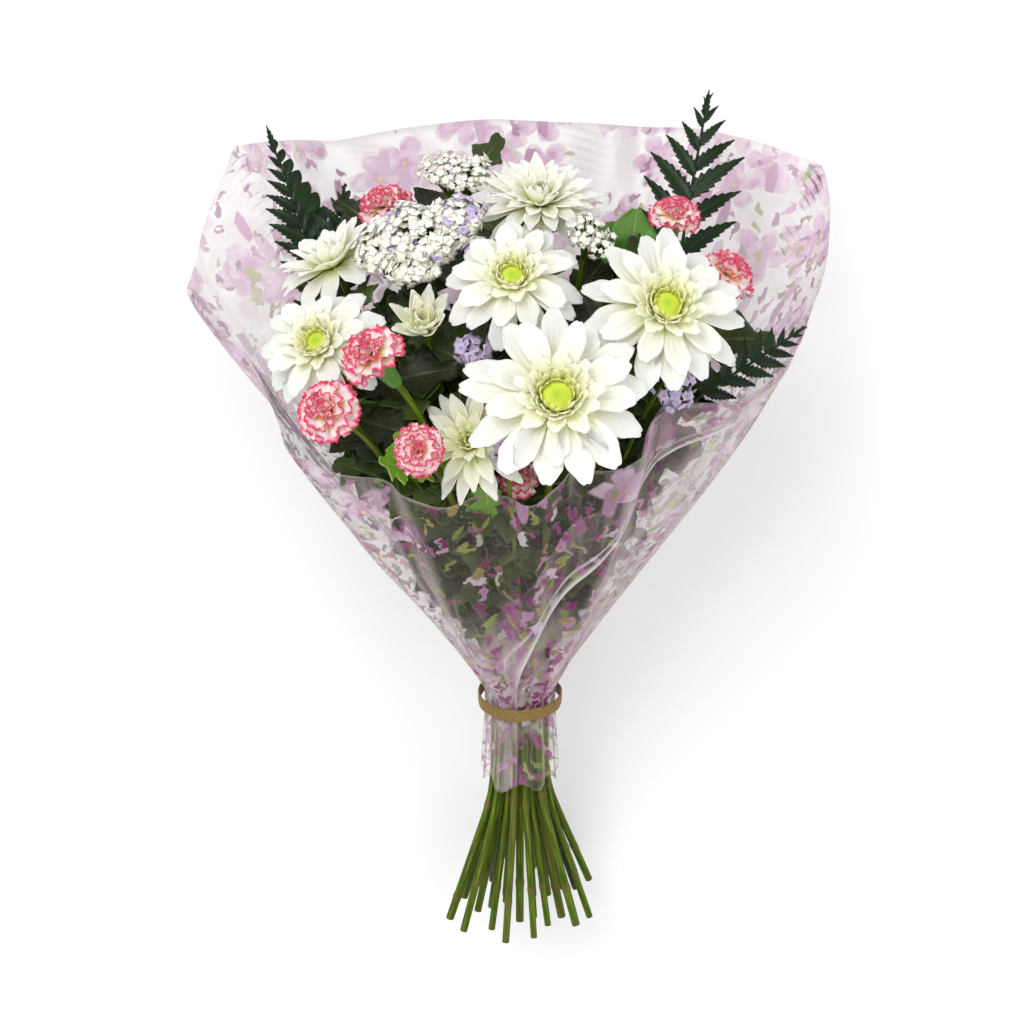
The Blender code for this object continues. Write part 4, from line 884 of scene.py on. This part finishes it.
def fernFrond(name, spec):
    # a stalk with toothed leaflets in pairs; the leaflets shorten towards the tip
    foot, tip, face = (np.array(spec[key]) for key in ("foot", "tip", "face"))
    along, length = unit(tip - foot), np.linalg.norm(tip - foot)
    side = unit(np.cross(along, face))
    bow = np.cross(side, along)
    t = np.linspace(0, 1, 20)[:, None]
    rib = foot + along * length * t * 0.97 + bow * 0.05 * length * np.sin(math.pi * t)
    parts = [dict(stemTube(name, tie["thinStem"], 0.34, rib, (0.5, 0.6)), finish=1)]
    lower, upper = routes[name]
    rib = np.concatenate((upper[10:-1], rib))
    t = np.concatenate((np.linspace(-0.9, 0, 15, endpoint=False), t[:, 0]))[:, None]
    look = frondLooks[name]
    pairs, start = look["pairs"], look["start"]
    share = np.repeat(start + (0.965 - start) * np.linspace(0, 1, pairs) ** 0.72, 2)
    sign = np.tile((-1.0, 1.0), pairs)
    root = np.stack([np.interp(share + 0.012 * sign, t[:, 0], rib[:, k]) for k in range(3)], -1)
    narrow = np.clip((share - 0.55) / 0.45, 0, 1)[:, None]
    out = unit(along * (0.78 + 0.5 * narrow) + side * sign[:, None] * (0.63 - 0.18 * narrow))
    across = -unit(np.cross(out, bow))
    reach = spec["reach"] * look["reach"] * np.minimum(1.0, 1.7 * (1.0 - share) + 0.09)
    count = len(sign)
    smooth = (sign > 0) & look["smoothRight"]
    for kind, outline, half in ((~smooth, toothedOutline(0.45, 0.32, 0.04, 8, 0.36), 1.0),
                                (smooth, petalOutline(0.30, 0.50, 0.10, 2.2), 1.3)):
        if kind.any():
            size = reach[kind] * np.where(smooth[kind], 0.86, 1.0)
            parts.append(blades(root[kind], out[kind], across[kind], 10 + noise.uniform(-8, 8, kind.sum()), 26, size,
                                half * look["half"] * size, outline, rows=46, cols=5, cup=0.25,
                                wave=0.06, sway=-0.10 * sign[kind], thick=0.0005,
                                tint=noise.uniform(-0.3, 0.1, kind.sum()), finish=1))
    # the tip runs out in a narrow toothed blade
    root = [[np.interp(0.90, t[:, 0], rib[:, k]) for k in range(3)]]
    parts.append(blades(root, [along], [-side], 4, 10, 0.125 * length, 0.022 * length,
                        toothedOutline(0.7, 0.2, 0.04, 5, 0.4), rows=31, cols=5, cup=0.2, thick=0.0005, tint=-0.1,
                        finish=1))
    return parts


floret = {"ruffled": 0.18, "deep": 0.50}


def floretRing(places, facings, size, tint=0.0, finish=0):
    # Small papery funnels. Profile: out from the foot to the rim and back down inside; ten columns, of which
    # every other one reaches further and higher
    count = len(places)
    profile = np.array(((0.10, 0.0), (0.45, 0.50), (1.0, 1.0), (0.42, 0.62), (0.02, 0.42)))
    a = np.linspace(0, 2 * math.pi, 10, endpoint=False)
    lobe = 1 + floret["ruffled"] * (np.arange(10) % 2 * 2 - 1)
    z = unit(facings)
    guide = unit(np.cross(z, np.array((0.31, 0.22, 0.92))))
    other = np.cross(z, guide)
    spin = noise.uniform(0, 2 * math.pi, count)[:, None]
    c, s = np.cos(a[None] + spin), np.sin(a[None] + spin)
    size = np.broadcast_to(size, (count,))[:, None, None]
    radius = size * (profile[None, :, 0, None] * (1 + (lobe - 1) * profile[:, 0, None])[None])
    height = size * floret["deep"] * (profile[None, :, 1, None] + 0.20 * (lobe - 1) * profile[None, :, 0, None])
    points = (places[:, None, None] + guide[:, None, None] * (radius * c[:, None])[..., None]
              + other[:, None, None] * (radius * s[:, None])[..., None] + z[:, None, None] * height[..., None])
    faces = gridFaces(5, 10, closed=True)[:, ::-1]
    faces = (faces[None] + (np.arange(count) * 50)[:, None, None]).reshape(-1, 4)
    v = np.array((0.0, 0.45, 1.0, 0.55, 0.1))
    uv = np.stack(np.broadcast_arrays((a / 6.283)[None, None], v[None, :, None]), -1)
    uv = np.broadcast_to(uv, (count, 5, 10, 2))
    return meshPart(points, faces, uv, np.repeat(np.broadcast_to(tint, (count,)), 50), finish=finish)


fillerLooks = {  # size of a floret, then lobes: offset in the head's axes, half sizes, florets, and the lilac share
    "statice_white": dict(size=0.0027, lobes=(((0, 0, 0), (0.022, 0.016, 0.006), 290, 0.08),
                                             ((-0.018, -0.010, -0.004), (0.012, 0.010, 0.005), 105, 0.0),
                                             ((0.000, -0.019, -0.004), (0.013, 0.008, 0.005), 105, 0.0),
                                             ((0.016, 0.008, 0.004), (0.011, 0.009, 0.005), 80, 0.30))),
    "filler_round": dict(size=0.0020, lobes=(((0, 0, 0), (0.017, 0.012, 0.006), 170, 0.0),
                                            ((0.010, -0.006, 0.001), (0.009, 0.007, 0.004), 50, 0.0))),
    "filler_buds": dict(size=0.0019, lobes=(((0, 0, 0), (0.008, 0.010, 0.005), 60, 0.0),
                                           ((0.004, -0.010, 0), (0.006, 0.006, 0.004), 24, 0.0))),
    "statice_lilac_middle": dict(size=0.0032, lobes=(((0, 0, 0), (0.006, 0.005, 0.004), 24, 1.0),)),
    "statice_lilac_front": dict(size=0.0028, lobes=(((0, 0, 0), (0.005, 0.008, 0.004), 30, 1.0),)),
    "statice_lilac_right": dict(size=0.0030, lobes=(((0, 0, 0), (0.008, 0.011, 0.004), 34, 1.0),)),
}


def fillerHead(name, spec):
    # florets on the upper part of each lobe, an ellipsoid, with thin twigs from the stem to some of them
    look = fillerLooks[name]
    axes, fork = headAxes(spec["facing"]), routes[name][1][-3]
    florets, twigs = [], []
    for offset, half, count, lilac in look["lobes"]:
        centre, half = np.array(spec["centre"]) + axes @ np.array(offset), np.array(half)
        share = (np.arange(count) + 0.5) / count
        a = np.arange(count) * 2.39996
        lean = np.arccos(1 - 1.25 * share)
        way = np.stack((np.sin(lean) * np.cos(a), np.sin(lean) * np.sin(a), np.cos(lean)), -1)
        way = unit(way + noise.normal(0, 0.10, way.shape))
        out = unit((way / half) @ axes.T)
        knots = centre + (way * half) @ axes.T + out * noise.uniform(-0.0016, 0.0022, count)[:, None]
        if count > 100:  # a big head is a dozen clumps with shaded gaps between them, sunk by part of its height
            near = np.max(way @ way[::count // 12].T, axis=1)
            knots -= out * (0.75 * half[2] * (1 - np.clip((near - 0.89) / 0.07, 0, 1)))[:, None]
        facings = unit(out + noise.normal(0, 0.22, out.shape))
        sizes = look["size"] * noise.uniform(0.70, 1.15, count)
        tinted = noise.uniform(0, 1, count) < lilac
        for finish, pick in ((0, ~tinted), (1, tinted)):
            if pick.any():
                florets.append(floretRing(knots[pick], facings[pick], sizes[pick],
                                          tint=noise.uniform(-0.05, 0.2, pick.sum()), finish=finish))
        pick = np.arange(0, count, max(1, count // 14))
        for knot, tipWay in zip(knots[pick], out[pick]):
            t = np.linspace(0, 1, 6)[:, None]
            path = (1 - t) ** 2 * fork + 2 * (1 - t) * t * (knot - tipWay * 0.006) + t ** 2 * knot
            twigs.append(tube(path, np.linspace(0.0007, 0.0004, 6), 6, 0.0))
    return florets, twigs


for name, spec in ferns.items():
    buildPiece(name.replace("_", "-"), fernFrond(name, spec), [stemSkin, fernSkin], [name])
for name, spec in fillers.items():
    label = name.replace("_", "-")
    florets, twigs = fillerHead(name, spec)
    buildPiece(label + "-florets", florets, [whitePaper, lilacPaper], [f"{name}_florets"])
    parts = [stemTube(name, tie["thinStem"], 0.6)] + twigs + spareLeaves(name, 12, 0.2, 0.95, (0.028, 0.046))
    buildPiece(label + "-stem", parts, [stemSkin, mumLeafSkin], [f"{name}_stem"])
for name in leafySprigs:
    outline, skin = (roundLeaf, calyxSkin) if name == "leafy_right" else (lobedLeaf, brightLeafSkin)
    parts = [stemTube(name, tie["thinStem"], 0.6)]
    parts += [leafOnStem(name, leafSpec, outline, tint=noise.uniform(-0.3, 0.3), **leafShape)
              for leafSpec in stemLeaves[name]]
    parts += spareLeaves(name, 9, 0.75, 0.99, (0.016, 0.024), (-0.1, 0.5))
    buildPiece(name.replace("_", "-"), parts, [stemSkin, skin], [name])
print("ferns, fillers and leafy stems are made")


# ---- film wrap and rubber band

def rollAngle(u, v):
    # degrees round the roll from the front; the seam turns by 104 degrees on its way up
    return -4 + 104 * np.maximum(v, 0) ** 2 - film["overlap"] + u * (360 + film["overlap"])


def filmPoints(u, v):
    # The rolled sheet. u runs round the roll past a full turn, v from the hem of the skirt, -1, through the
    # tie, 0, to the rim, 1. Above the tie the radius grows from the neck to the rim by a power of v, with
    # pleats that fade and folds that grow upwards, and creases pushed along the tilted normal
    climb = np.maximum(v, 0)
    angle = rollAngle(u, v)
    wrapped = (angle + 180) % 360 - 180
    reach = np.interp(wrapped, filmRim[:, 0], filmRim[:, 1])
    top = np.interp(wrapped, filmRim[:, 0], filmRim[:, 2])
    single = 360 / (360 + film["overlap"])
    layer = film["layerGap"] * np.clip((u - single + 0.10) / 0.10, 0, 1)
    a = np.radians(angle)
    pleat = film["pleatDepth"] * np.cos(film["pleats"] * a)
    openShare = np.maximum(climb - 0.02, 0) / 0.98
    upperRadius = film["neckRadius"] + (reach - film["neckRadius"]) * openShare ** filmPower(a, openShare)
    upperHeight = film["tieTop"] + (top - film["tieTop"]) * climb
    fold = film["fold"] * climb * np.sin(9 * a + 0.6) + 0.001 * climb ** 3 * np.sin(23 * a)
    lowerRadius = film["neckRadius"] + 0.0025 * np.maximum(0, -v - 0.16)
    lowerHeight = (film["tieTop"] + (film["skirt"] + film["tieTop"]) * v
                   + 0.006 * np.cos(7 * a) * np.maximum(0, -v - 0.55))
    above = v > 0
    radius, height = np.where(above, upperRadius, lowerRadius), np.where(above, upperHeight, lowerHeight)
    pleat = np.where(above, pleat * (1 + 3 * climb) * (1 - climb) + fold, pleat)
    lean = np.where(above, np.arctan2(reach - film["neckRadius"], top), 0.0)
    crease = filmCreases(a, climb)
    push = pleat + layer * (1 + 0.4 * climb) + crease
    out = np.stack((np.sin(a), -np.cos(a), 0 * a), -1)
    normal = out * np.cos(lean * 0.9)[..., None] - np.sin(lean * 0.9)[..., None] * np.array((0, 0, 1.0))
    points = out * radius[..., None] + height[..., None] * np.array((0, 0, 1.0)) + normal * push[..., None]
    # pressed flat where it meets the table
    upward = np.array((0, -math.cos(layTurn), math.sin(layTurn)))
    above = points @ upward + tieMiddle[2]
    return points + upward * np.maximum(0, 0.0004 - above)[..., None], np.abs(crease)


def filmCreases(a, climb):
    # sharp low ridges that run up the cone and drift round it, each |distance| / width falling from its line
    total = np.zeros_like(a + climb)
    draw = np.random.default_rng(5)
    for _ in range(film["creases"]):
        start, drift = draw.uniform(-3.3, 3.3), draw.normal(0, 0.5)
        width, size = draw.uniform(0.02, 0.06), draw.normal(0, 1)
        low, high = sorted(draw.uniform(0.05, 1.1, 2))
        along = np.clip((climb - low) / 0.1, 0, 1) * np.clip((high - climb) / 0.1, 0, 1)
        gap = np.abs((a - start - drift * climb + math.pi) % (2 * math.pi) - math.pi)
        total = total + film["creaseDepth"] * size * along * np.exp(-gap / width) * climb
    return total


def filmPiece():
    v = np.concatenate((np.linspace(-1, 0, 18)[:-1], np.linspace(0, 1, film["rows"] - 17) ** 1.15))[:, None]
    u = np.linspace(0, 1, film["columns"])[None]
    u, v = np.broadcast_arrays(u, v)
    points, crease = filmPoints(u, v)
    # flat pattern of the sheet: an even fan round a hole, in which a point lies at its distance from the tie
    # plus the hole's radius, and each degree round the roll spans reach / (slant + hole) of a degree
    hole = film["patternHole"]
    angle = rollAngle(u, v)
    degrees = np.linspace(-180, 540, 721)
    reach, top = (np.interp((degrees + 180) % 360 - 180, filmRim[:, 0], filmRim[:, k]) for k in (1, 2))
    slant = np.hypot(reach - film["neckRadius"], top - film["tieTop"])
    fan = np.concatenate(((0,), np.cumsum((reach / (slant + hole))[:-1]))) * math.pi / 180
    turn = np.interp(angle, degrees, fan)
    distance = hole + np.where(v > 0, np.interp(angle, degrees, slant) * v, 0.05 * v)
    uv = np.stack((distance * np.sin(turn), distance * np.cos(turn)), -1)
    steps = np.linalg.norm(np.diff(points, axis=0), axis=2)
    around = np.linalg.norm(np.diff(points, axis=1), axis=2)
    toEdge = (1 - u) * around.sum(1, keepdims=True)
    rimGap = (1 - v) * steps.sum(0, keepdims=True)
    # white is a painted highlight: the film is whitened and made less clear along its creases, along the seam's edge
    # and a fold line 13 mm in from it, and along the rim
    white = np.clip(crease / 0.0009, 0, 1) * 0.45
    fade = np.clip(v / 0.25, 0.25, 1)
    white = np.maximum(white, np.exp(-np.minimum(toEdge / (0.005 * fade), 9) ** 2) * 0.9 * fade)
    white = np.maximum(white, np.exp(-np.minimum(np.abs(toEdge / fade - 0.013) / 0.0016, 9) ** 2) * 0.7 * fade)
    white = np.maximum(white, np.exp(-np.minimum(rimGap / 0.0014, 9) ** 2) * 0.30)
    shell = shells(points[None], film["thick"], uv[None], 0.0)
    shell["tint"] = np.concatenate((white.ravel(), white.ravel()))
    # here under says how closely the film is gathered and doubled: wholly at the tie, less above it, and half
    # at the two sides of the cone. It falls below 0 towards the hem, where the film is clear
    gathered = np.where(v > 0, np.clip(1.35 - v / 0.38, 0, 1), 1 + 2.0 * v)
    sides = np.exp(-((np.abs((angle + 180) % 360 - 180) - 102) / 33) ** 2)
    gathered = np.maximum(gathered, 0.55 * sides * np.clip(v / 0.3, 0, 1))
    shell["under"] = np.concatenate((gathered.ravel(), gathered.ravel()))
    area = float(np.linalg.norm(np.cross(np.diff(points, axis=0)[:, 1:], np.diff(points, axis=1)[1:]), axis=2).sum())
    print("film, one side:", round(area, 4), "square metres")
    return shell, area


# The print. Motifs stand in the cells of an uneven net with cell apart in metres: a blossom of five lobes or
# a leaf, from small to big in radius, turned by up to spread. often is the share of cells that hold one, from
# the first distance from the tie to the second; the colours run over each motif
filmPrint = {
    "blossom": dict(cell=0.031, lobes=5, big=0.0165, small=0.0065, spread=3.14, often=(0.20, 0.31, 0.04, 0.97),
                    colours=((0.32, "#C87FB3"), (0.46, "#E0B4D2"), (0.66, "#EFDCE9"))),
    "spray": dict(cell=0.0150, lobes=2, big=0.0130, small=0.0030, spread=0.22, often=(0.10, 0.30, -0.10, 0.22),
                  colours=((0.0, "#B05A98"), (0.40, "#CD8FBC"), (0.75, "#DFB8D4"), (1.0, "#E6D2E4"))),
    "sprig": dict(cell=0.0092, lobes=2, big=0.0056, small=0.0016, spread=0.75, often=(0.24, 0.35, 0.46, 0.08),
                  colours=((0.0, "#8A3470"), (0.40, "#AE5E98"), (0.70, "#D3A0C6"), (0.84, "#E6E0E0"),
                           (0.95, "#A4AA5C"))),
    "dash": dict(cell=0.0066, lobes=2, big=0.0036, small=0.0014, spread=1.2, often=(0.20, 0.33, 0.40, 0.04),
                 colours=((0.0, "#7A2A58"), (0.45, "#A9548C"), (0.78, "#B0A85A"), (0.92, "#8C9C50"))),
}


def filmFinish():
    # Clear polypropylene flower film, cast and printed in flexo: very thin, glossy and slightly milky, with soft pink
    # blossom, magenta sprigs and yellow dots printed on it; painted highlights whiten it along its creases and edges
    # and in streaks up the cone.
    finish, tree, shader = startFinish("printed clear film", Roughness=0.12, IOR=1.49, Specular_IOR_Level=0.28)
    uv = addNode(tree, "UVMap")
    # the painted highlight that filmPiece puts along the creases, the seam's edge and the rim
    white = addNode(tree, "Attribute", {"attribute_name": "tint"})
    soft = addNode(tree, "TexNoise", {"Scale": 60.0, "Detail": 4.0}, {"Vector": uv})

    flat = addNode(tree, "SeparateXYZ", links={0: uv})
    radial = addNode(tree, "Math", {"operation": "ARCTAN2"}, {0: flat.outputs[1], 1: flat})
    outwards = addNode(tree, "VectorMath", {"operation": "LENGTH"}, {0: uv})

    gathered = addNode(tree, "Attribute", {"attribute_name": "under"})

    # the small marks are ragged: each point is read up to 2 mm off its place
    ragged = addNode(tree, "TexNoise", {"Scale": 190.0, "Detail": 2.0}, {"Vector": uv})
    ragged = addNode(tree, "VectorMath", {"operation": "SUBTRACT", 1: (0.5, 0.5, 0.5)},
                     {0: ragged.outputs["Color"]})
    ragged = addNode(tree, "VectorMath", {"operation": "MULTIPLY_ADD", 1: (0.009, 0.009, 0.0)},
                     {0: ragged, 2: uv})

    def motif(name, place):
        # Where the motif is printed, turned from the way that the cone runs. A blossom's radius goes from
        # small to big at each lobe; a leaf is an ellipse, small / sqrt(1 - e^2 cos^2)
        shape = filmPrint[name]
        big, small, spread = shape["big"], shape["small"], shape["spread"]
        cell = addNode(tree, "TexVoronoi", {"voronoi_dimensions": "2D", "Scale": 1 / shape["cell"],
                                            "Randomness": 0.75}, {"Vector": place})
        local = addNode(tree, "VectorMath", {"operation": "SUBTRACT"},
                        {0: place, 1: cell.outputs["Position"]})
        axes = addNode(tree, "SeparateXYZ", links={0: local})
        chance = addNode(tree, "SeparateColor", links={0: cell.outputs["Color"]})
        angle = addNode(tree, "Math", {"operation": "ARCTAN2"}, {0: axes.outputs[1], 1: axes})
        angle = addNode(tree, "Math", {"operation": "SUBTRACT"}, {0: angle, 1: radial})
        turn = addNode(tree, "Math", {"operation": "MULTIPLY_ADD", 1: 2 * spread, 2: -spread},
                       {0: chance})
        turned = addNode(tree, "Math", {"operation": "ADD"}, {0: angle, 1: turn})
        lobe = addNode(tree, "Math", {"operation": "MULTIPLY", 1: shape["lobes"] / 2}, {0: turned})
        lobe = addNode(tree, "Math", {"operation": "COSINE"}, {0: lobe})
        lobe = addNode(tree, "Math", {"operation": "ABSOLUTE"}, {0: lobe})
        if shape["lobes"] == 2:
            lobe = addNode(tree, "Math", {"operation": "POWER", 1: 2.0}, {0: lobe})
            lobe = addNode(tree, "Math", {"operation": "MULTIPLY_ADD", 1: (small / big) ** 2 - 1, 2: 1.0},
                           {0: lobe})
            lobe = addNode(tree, "Math", {"operation": "POWER", 1: -0.5}, {0: lobe})
            edge = addNode(tree, "Math", {"operation": "MULTIPLY", 1: small}, {0: lobe})
        else:
            lobe = addNode(tree, "Math", {"operation": "POWER", 1: 0.6}, {0: lobe})
            edge = addNode(tree, "Math", {"operation": "MULTIPLY_ADD", 1: big - small, 2: small},
                           {0: lobe})
        far = addNode(tree, "VectorMath", {"operation": "LENGTH"}, {0: local})
        ratio = addNode(tree, "Math", {"operation": "DIVIDE"}, {0: far.outputs[1], 1: edge})
        torn = addNode(tree, "Math", {"operation": "MULTIPLY_ADD", 1: 0.9},
                       {0: soft, 2: ratio})
        inside = addNode(tree, "MapRange", {1: 1.50, 2: 1.24, 3: 0.0, 4: 1.0}, {0: torn})
        near, far, least, most = shape["often"]
        share = addNode(tree, "MapRange", {1: near, 2: far, 3: least, 4: most}, {0: outwards.outputs[1]})
        if shape["lobes"] == 2:  # the small marks crowd where the film is doubled
            share = addNode(tree, "Math", {"operation": "MULTIPLY_ADD", 1: 0.6},
                            {0: gathered.outputs["Fac"], 2: share})
        kept = addNode(tree, "Math", {"operation": "LESS_THAN"}, {0: chance.outputs[1],
                                                                            1: share})
        inside = addNode(tree, "Math", {"operation": "MULTIPLY"}, {0: inside, 1: kept})
        return inside.outputs[0], ratio.outputs[0], chance

    blossom, blossomRatio, _ = motif("blossom", uv)
    sprig, _, sprigChance = motif("sprig", ragged)
    dash, _, dashChance = motif("dash", ragged)
    spray, _, sprayChance = motif("spray", uv)
    wash = addNode(tree, "TexNoise", {"Scale": 130.0, "Detail": 3.0}, {"Vector": uv})
    petal = addNode(tree, "ValToRGB", {"stops": filmPrint["blossom"]["colours"]}, {0: wash})
    heart = addNode(tree, "MapRange", {1: 0.10, 2: 0.34, 3: 1.0, 4: 0.0}, {0: blossomRatio})
    petal = addNode(tree, "Mix", {"data_type": "RGBA", 7: "#D269A8"},
                    {0: addNode(tree, "Math", {"operation": "MULTIPLY", 1: 0.7}, {0: heart}),
                     6: petal})
    pollen = addNode(tree, "MapRange", {1: 0.06, 2: 0.12, 3: 1.0, 4: 0.0}, {0: blossomRatio})
    petal = addNode(tree, "Mix", {"data_type": "RGBA", 7: "#DCD280"},
                    {0: pollen, 6: petal.outputs[2]})
    base = addNode(tree, "Mix", {"data_type": "RGBA", 6: "#D2BFC0"}, {0: blossom, 7: petal.outputs[2]})
    for name, mark, chance in (("spray", spray, sprayChance), ("sprig", sprig, sprigChance),
                               ("dash", dash, dashChance)):
        tone = addNode(tree, "ValToRGB", {"stops": filmPrint[name]["colours"]}, {0: chance.outputs[2]})
        base = addNode(tree, "Mix", {"data_type": "RGBA"}, {0: mark, 6: base.outputs[2], 7: tone})
    # painted highlight streaks, milky white, that run up the cone
    highlightStreak = addNode(tree, "CombineXYZ", links={
        0: addNode(tree, "Math", {"operation": "MULTIPLY", 1: 17.0}, {0: radial}),
        1: addNode(tree, "Math", {"operation": "MULTIPLY", 1: 7.0}, {0: outwards.outputs[1]})})
    highlightStreak = addNode(tree, "TexNoise", {"Scale": 1.0, "Detail": 3.0, "Distortion": 0.6},
                     {"Vector": highlightStreak})
    highlightStreak = addNode(tree, "MapRange", {1: 0.52, 2: 0.78, 3: 0.0, 4: 0.52}, {0: highlightStreak})
    white = addNode(tree, "Math", {"operation": "MAXIMUM"}, {0: white.outputs["Fac"], 1: highlightStreak})
    base = addNode(tree, "Mix", {"data_type": "RGBA", 7: "#F4F2F2"},
                   {0: white, 6: base.outputs[2]})
    # seen edge on, the film mirrors the pale room and lets less through: a painted reflection that makes the film less
    # clear in its own colour as it turns edge on, over a little milkiness face on
    crinkle = addNode(tree, "TexNoise", {"Scale": 95.0, "Detail": 4.0, "Distortion": 1.4},
                      {"Vector": uv})
    crinkle = addNode(tree, "Bump", {"Strength": 0.7, "Distance": 0.0014}, {"Height": crinkle})
    glancing = addNode(tree, "LayerWeight", {"Blend": 0.28}, {"Normal": crinkle})
    tree.links.new(crinkle.outputs[0], shader.inputs["Normal"])
    milkAndPaintedReflection = addNode(tree, "MapRange", {1: 0.25, 2: 1.0, 3: 0.035, 4: 0.66}, {0: glancing.outputs["Facing"]})
    printed = blossom
    for mark in (sprig, dash, spray):
        printed = addNode(tree, "Math", {"operation": "MAXIMUM"}, {0: printed, 1: mark})
    ink = addNode(tree, "MapRange", {1: 0.15, 2: 0.9, 3: 0.38, 4: 0.70}, {0: glancing.outputs["Facing"]})
    ink = addNode(tree, "Math", {"operation": "MULTIPLY"}, {0: printed, 1: ink})
    # the painted highlights also make the film less clear
    glow = addNode(tree, "Math", {"operation": "MULTIPLY", 1: 0.62}, {0: white})
    cover = addNode(tree, "Math", {"operation": "MAXIMUM"}, {0: ink, 1: glow})
    cover = addNode(tree, "Math", {"operation": "MAXIMUM"}, {0: cover, 1: milkAndPaintedReflection})
    dense = addNode(tree, "MapRange", {1: 0.35, 2: 0.65, 3: 0.16, 4: 0.62}, {0: soft})
    dense = addNode(tree, "Math", {"operation": "MULTIPLY"}, {0: gathered.outputs["Fac"], 1: dense})
    cover = addNode(tree, "Math", {"operation": "MAXIMUM"}, {0: cover, 1: dense})
    tree.links.new(base.outputs[2], shader.inputs["Base Color"])
    tree.links.new(cover.outputs[0], shader.inputs["Alpha"])
    return finish


wrapShell, wrapArea = filmPiece()
wrap = buildPiece("film-wrap", [wrapShell], [filmFinish()], ["wrapper"])

band = {"innerRadius": film["neckRadius"] + film["pleatDepth"] + film["layerGap"] + 0.0006, "width": 0.00635,
        "thick": 0.0011}


def bandShape():
    # a rounded rectangle carried round the tie, with a slight wander up and down
    corner = np.linspace(0, 2 * math.pi, 20, endpoint=False)
    square = lambda t: np.sign(t) * np.abs(t) ** 0.45
    across, along = square(np.cos(corner)) * band["thick"] / 2, square(np.sin(corner)) * band["width"] / 2
    a = np.linspace(0, 2 * math.pi, 120, endpoint=False)[:, None]
    radius = band["innerRadius"] + band["thick"] / 2 + across[None] + 0.0001 * np.cos(11 * a)
    height = along[None] + 0.0003 * np.sin(2 * a + 0.5) + 0.00015 * np.sin(5 * a)
    points = np.stack((radius * np.sin(a), -radius * np.cos(a), height + 0 * a), -1)
    rows, cols = points.shape[:2]
    points = np.concatenate((points, points[:1]))
    uv = np.stack(np.broadcast_arrays(np.linspace(0, 1, rows + 1)[:, None], np.linspace(0, 1, cols)[None]), -1)
    return meshPart(points, gridFaces(rows + 1, cols, closed=True), uv, np.zeros((rows + 1) * cols))


buildPiece("rubber-band", [bandShape()], [rubberFinish()], ["rubber_band"])
print("film and rubber band are made")
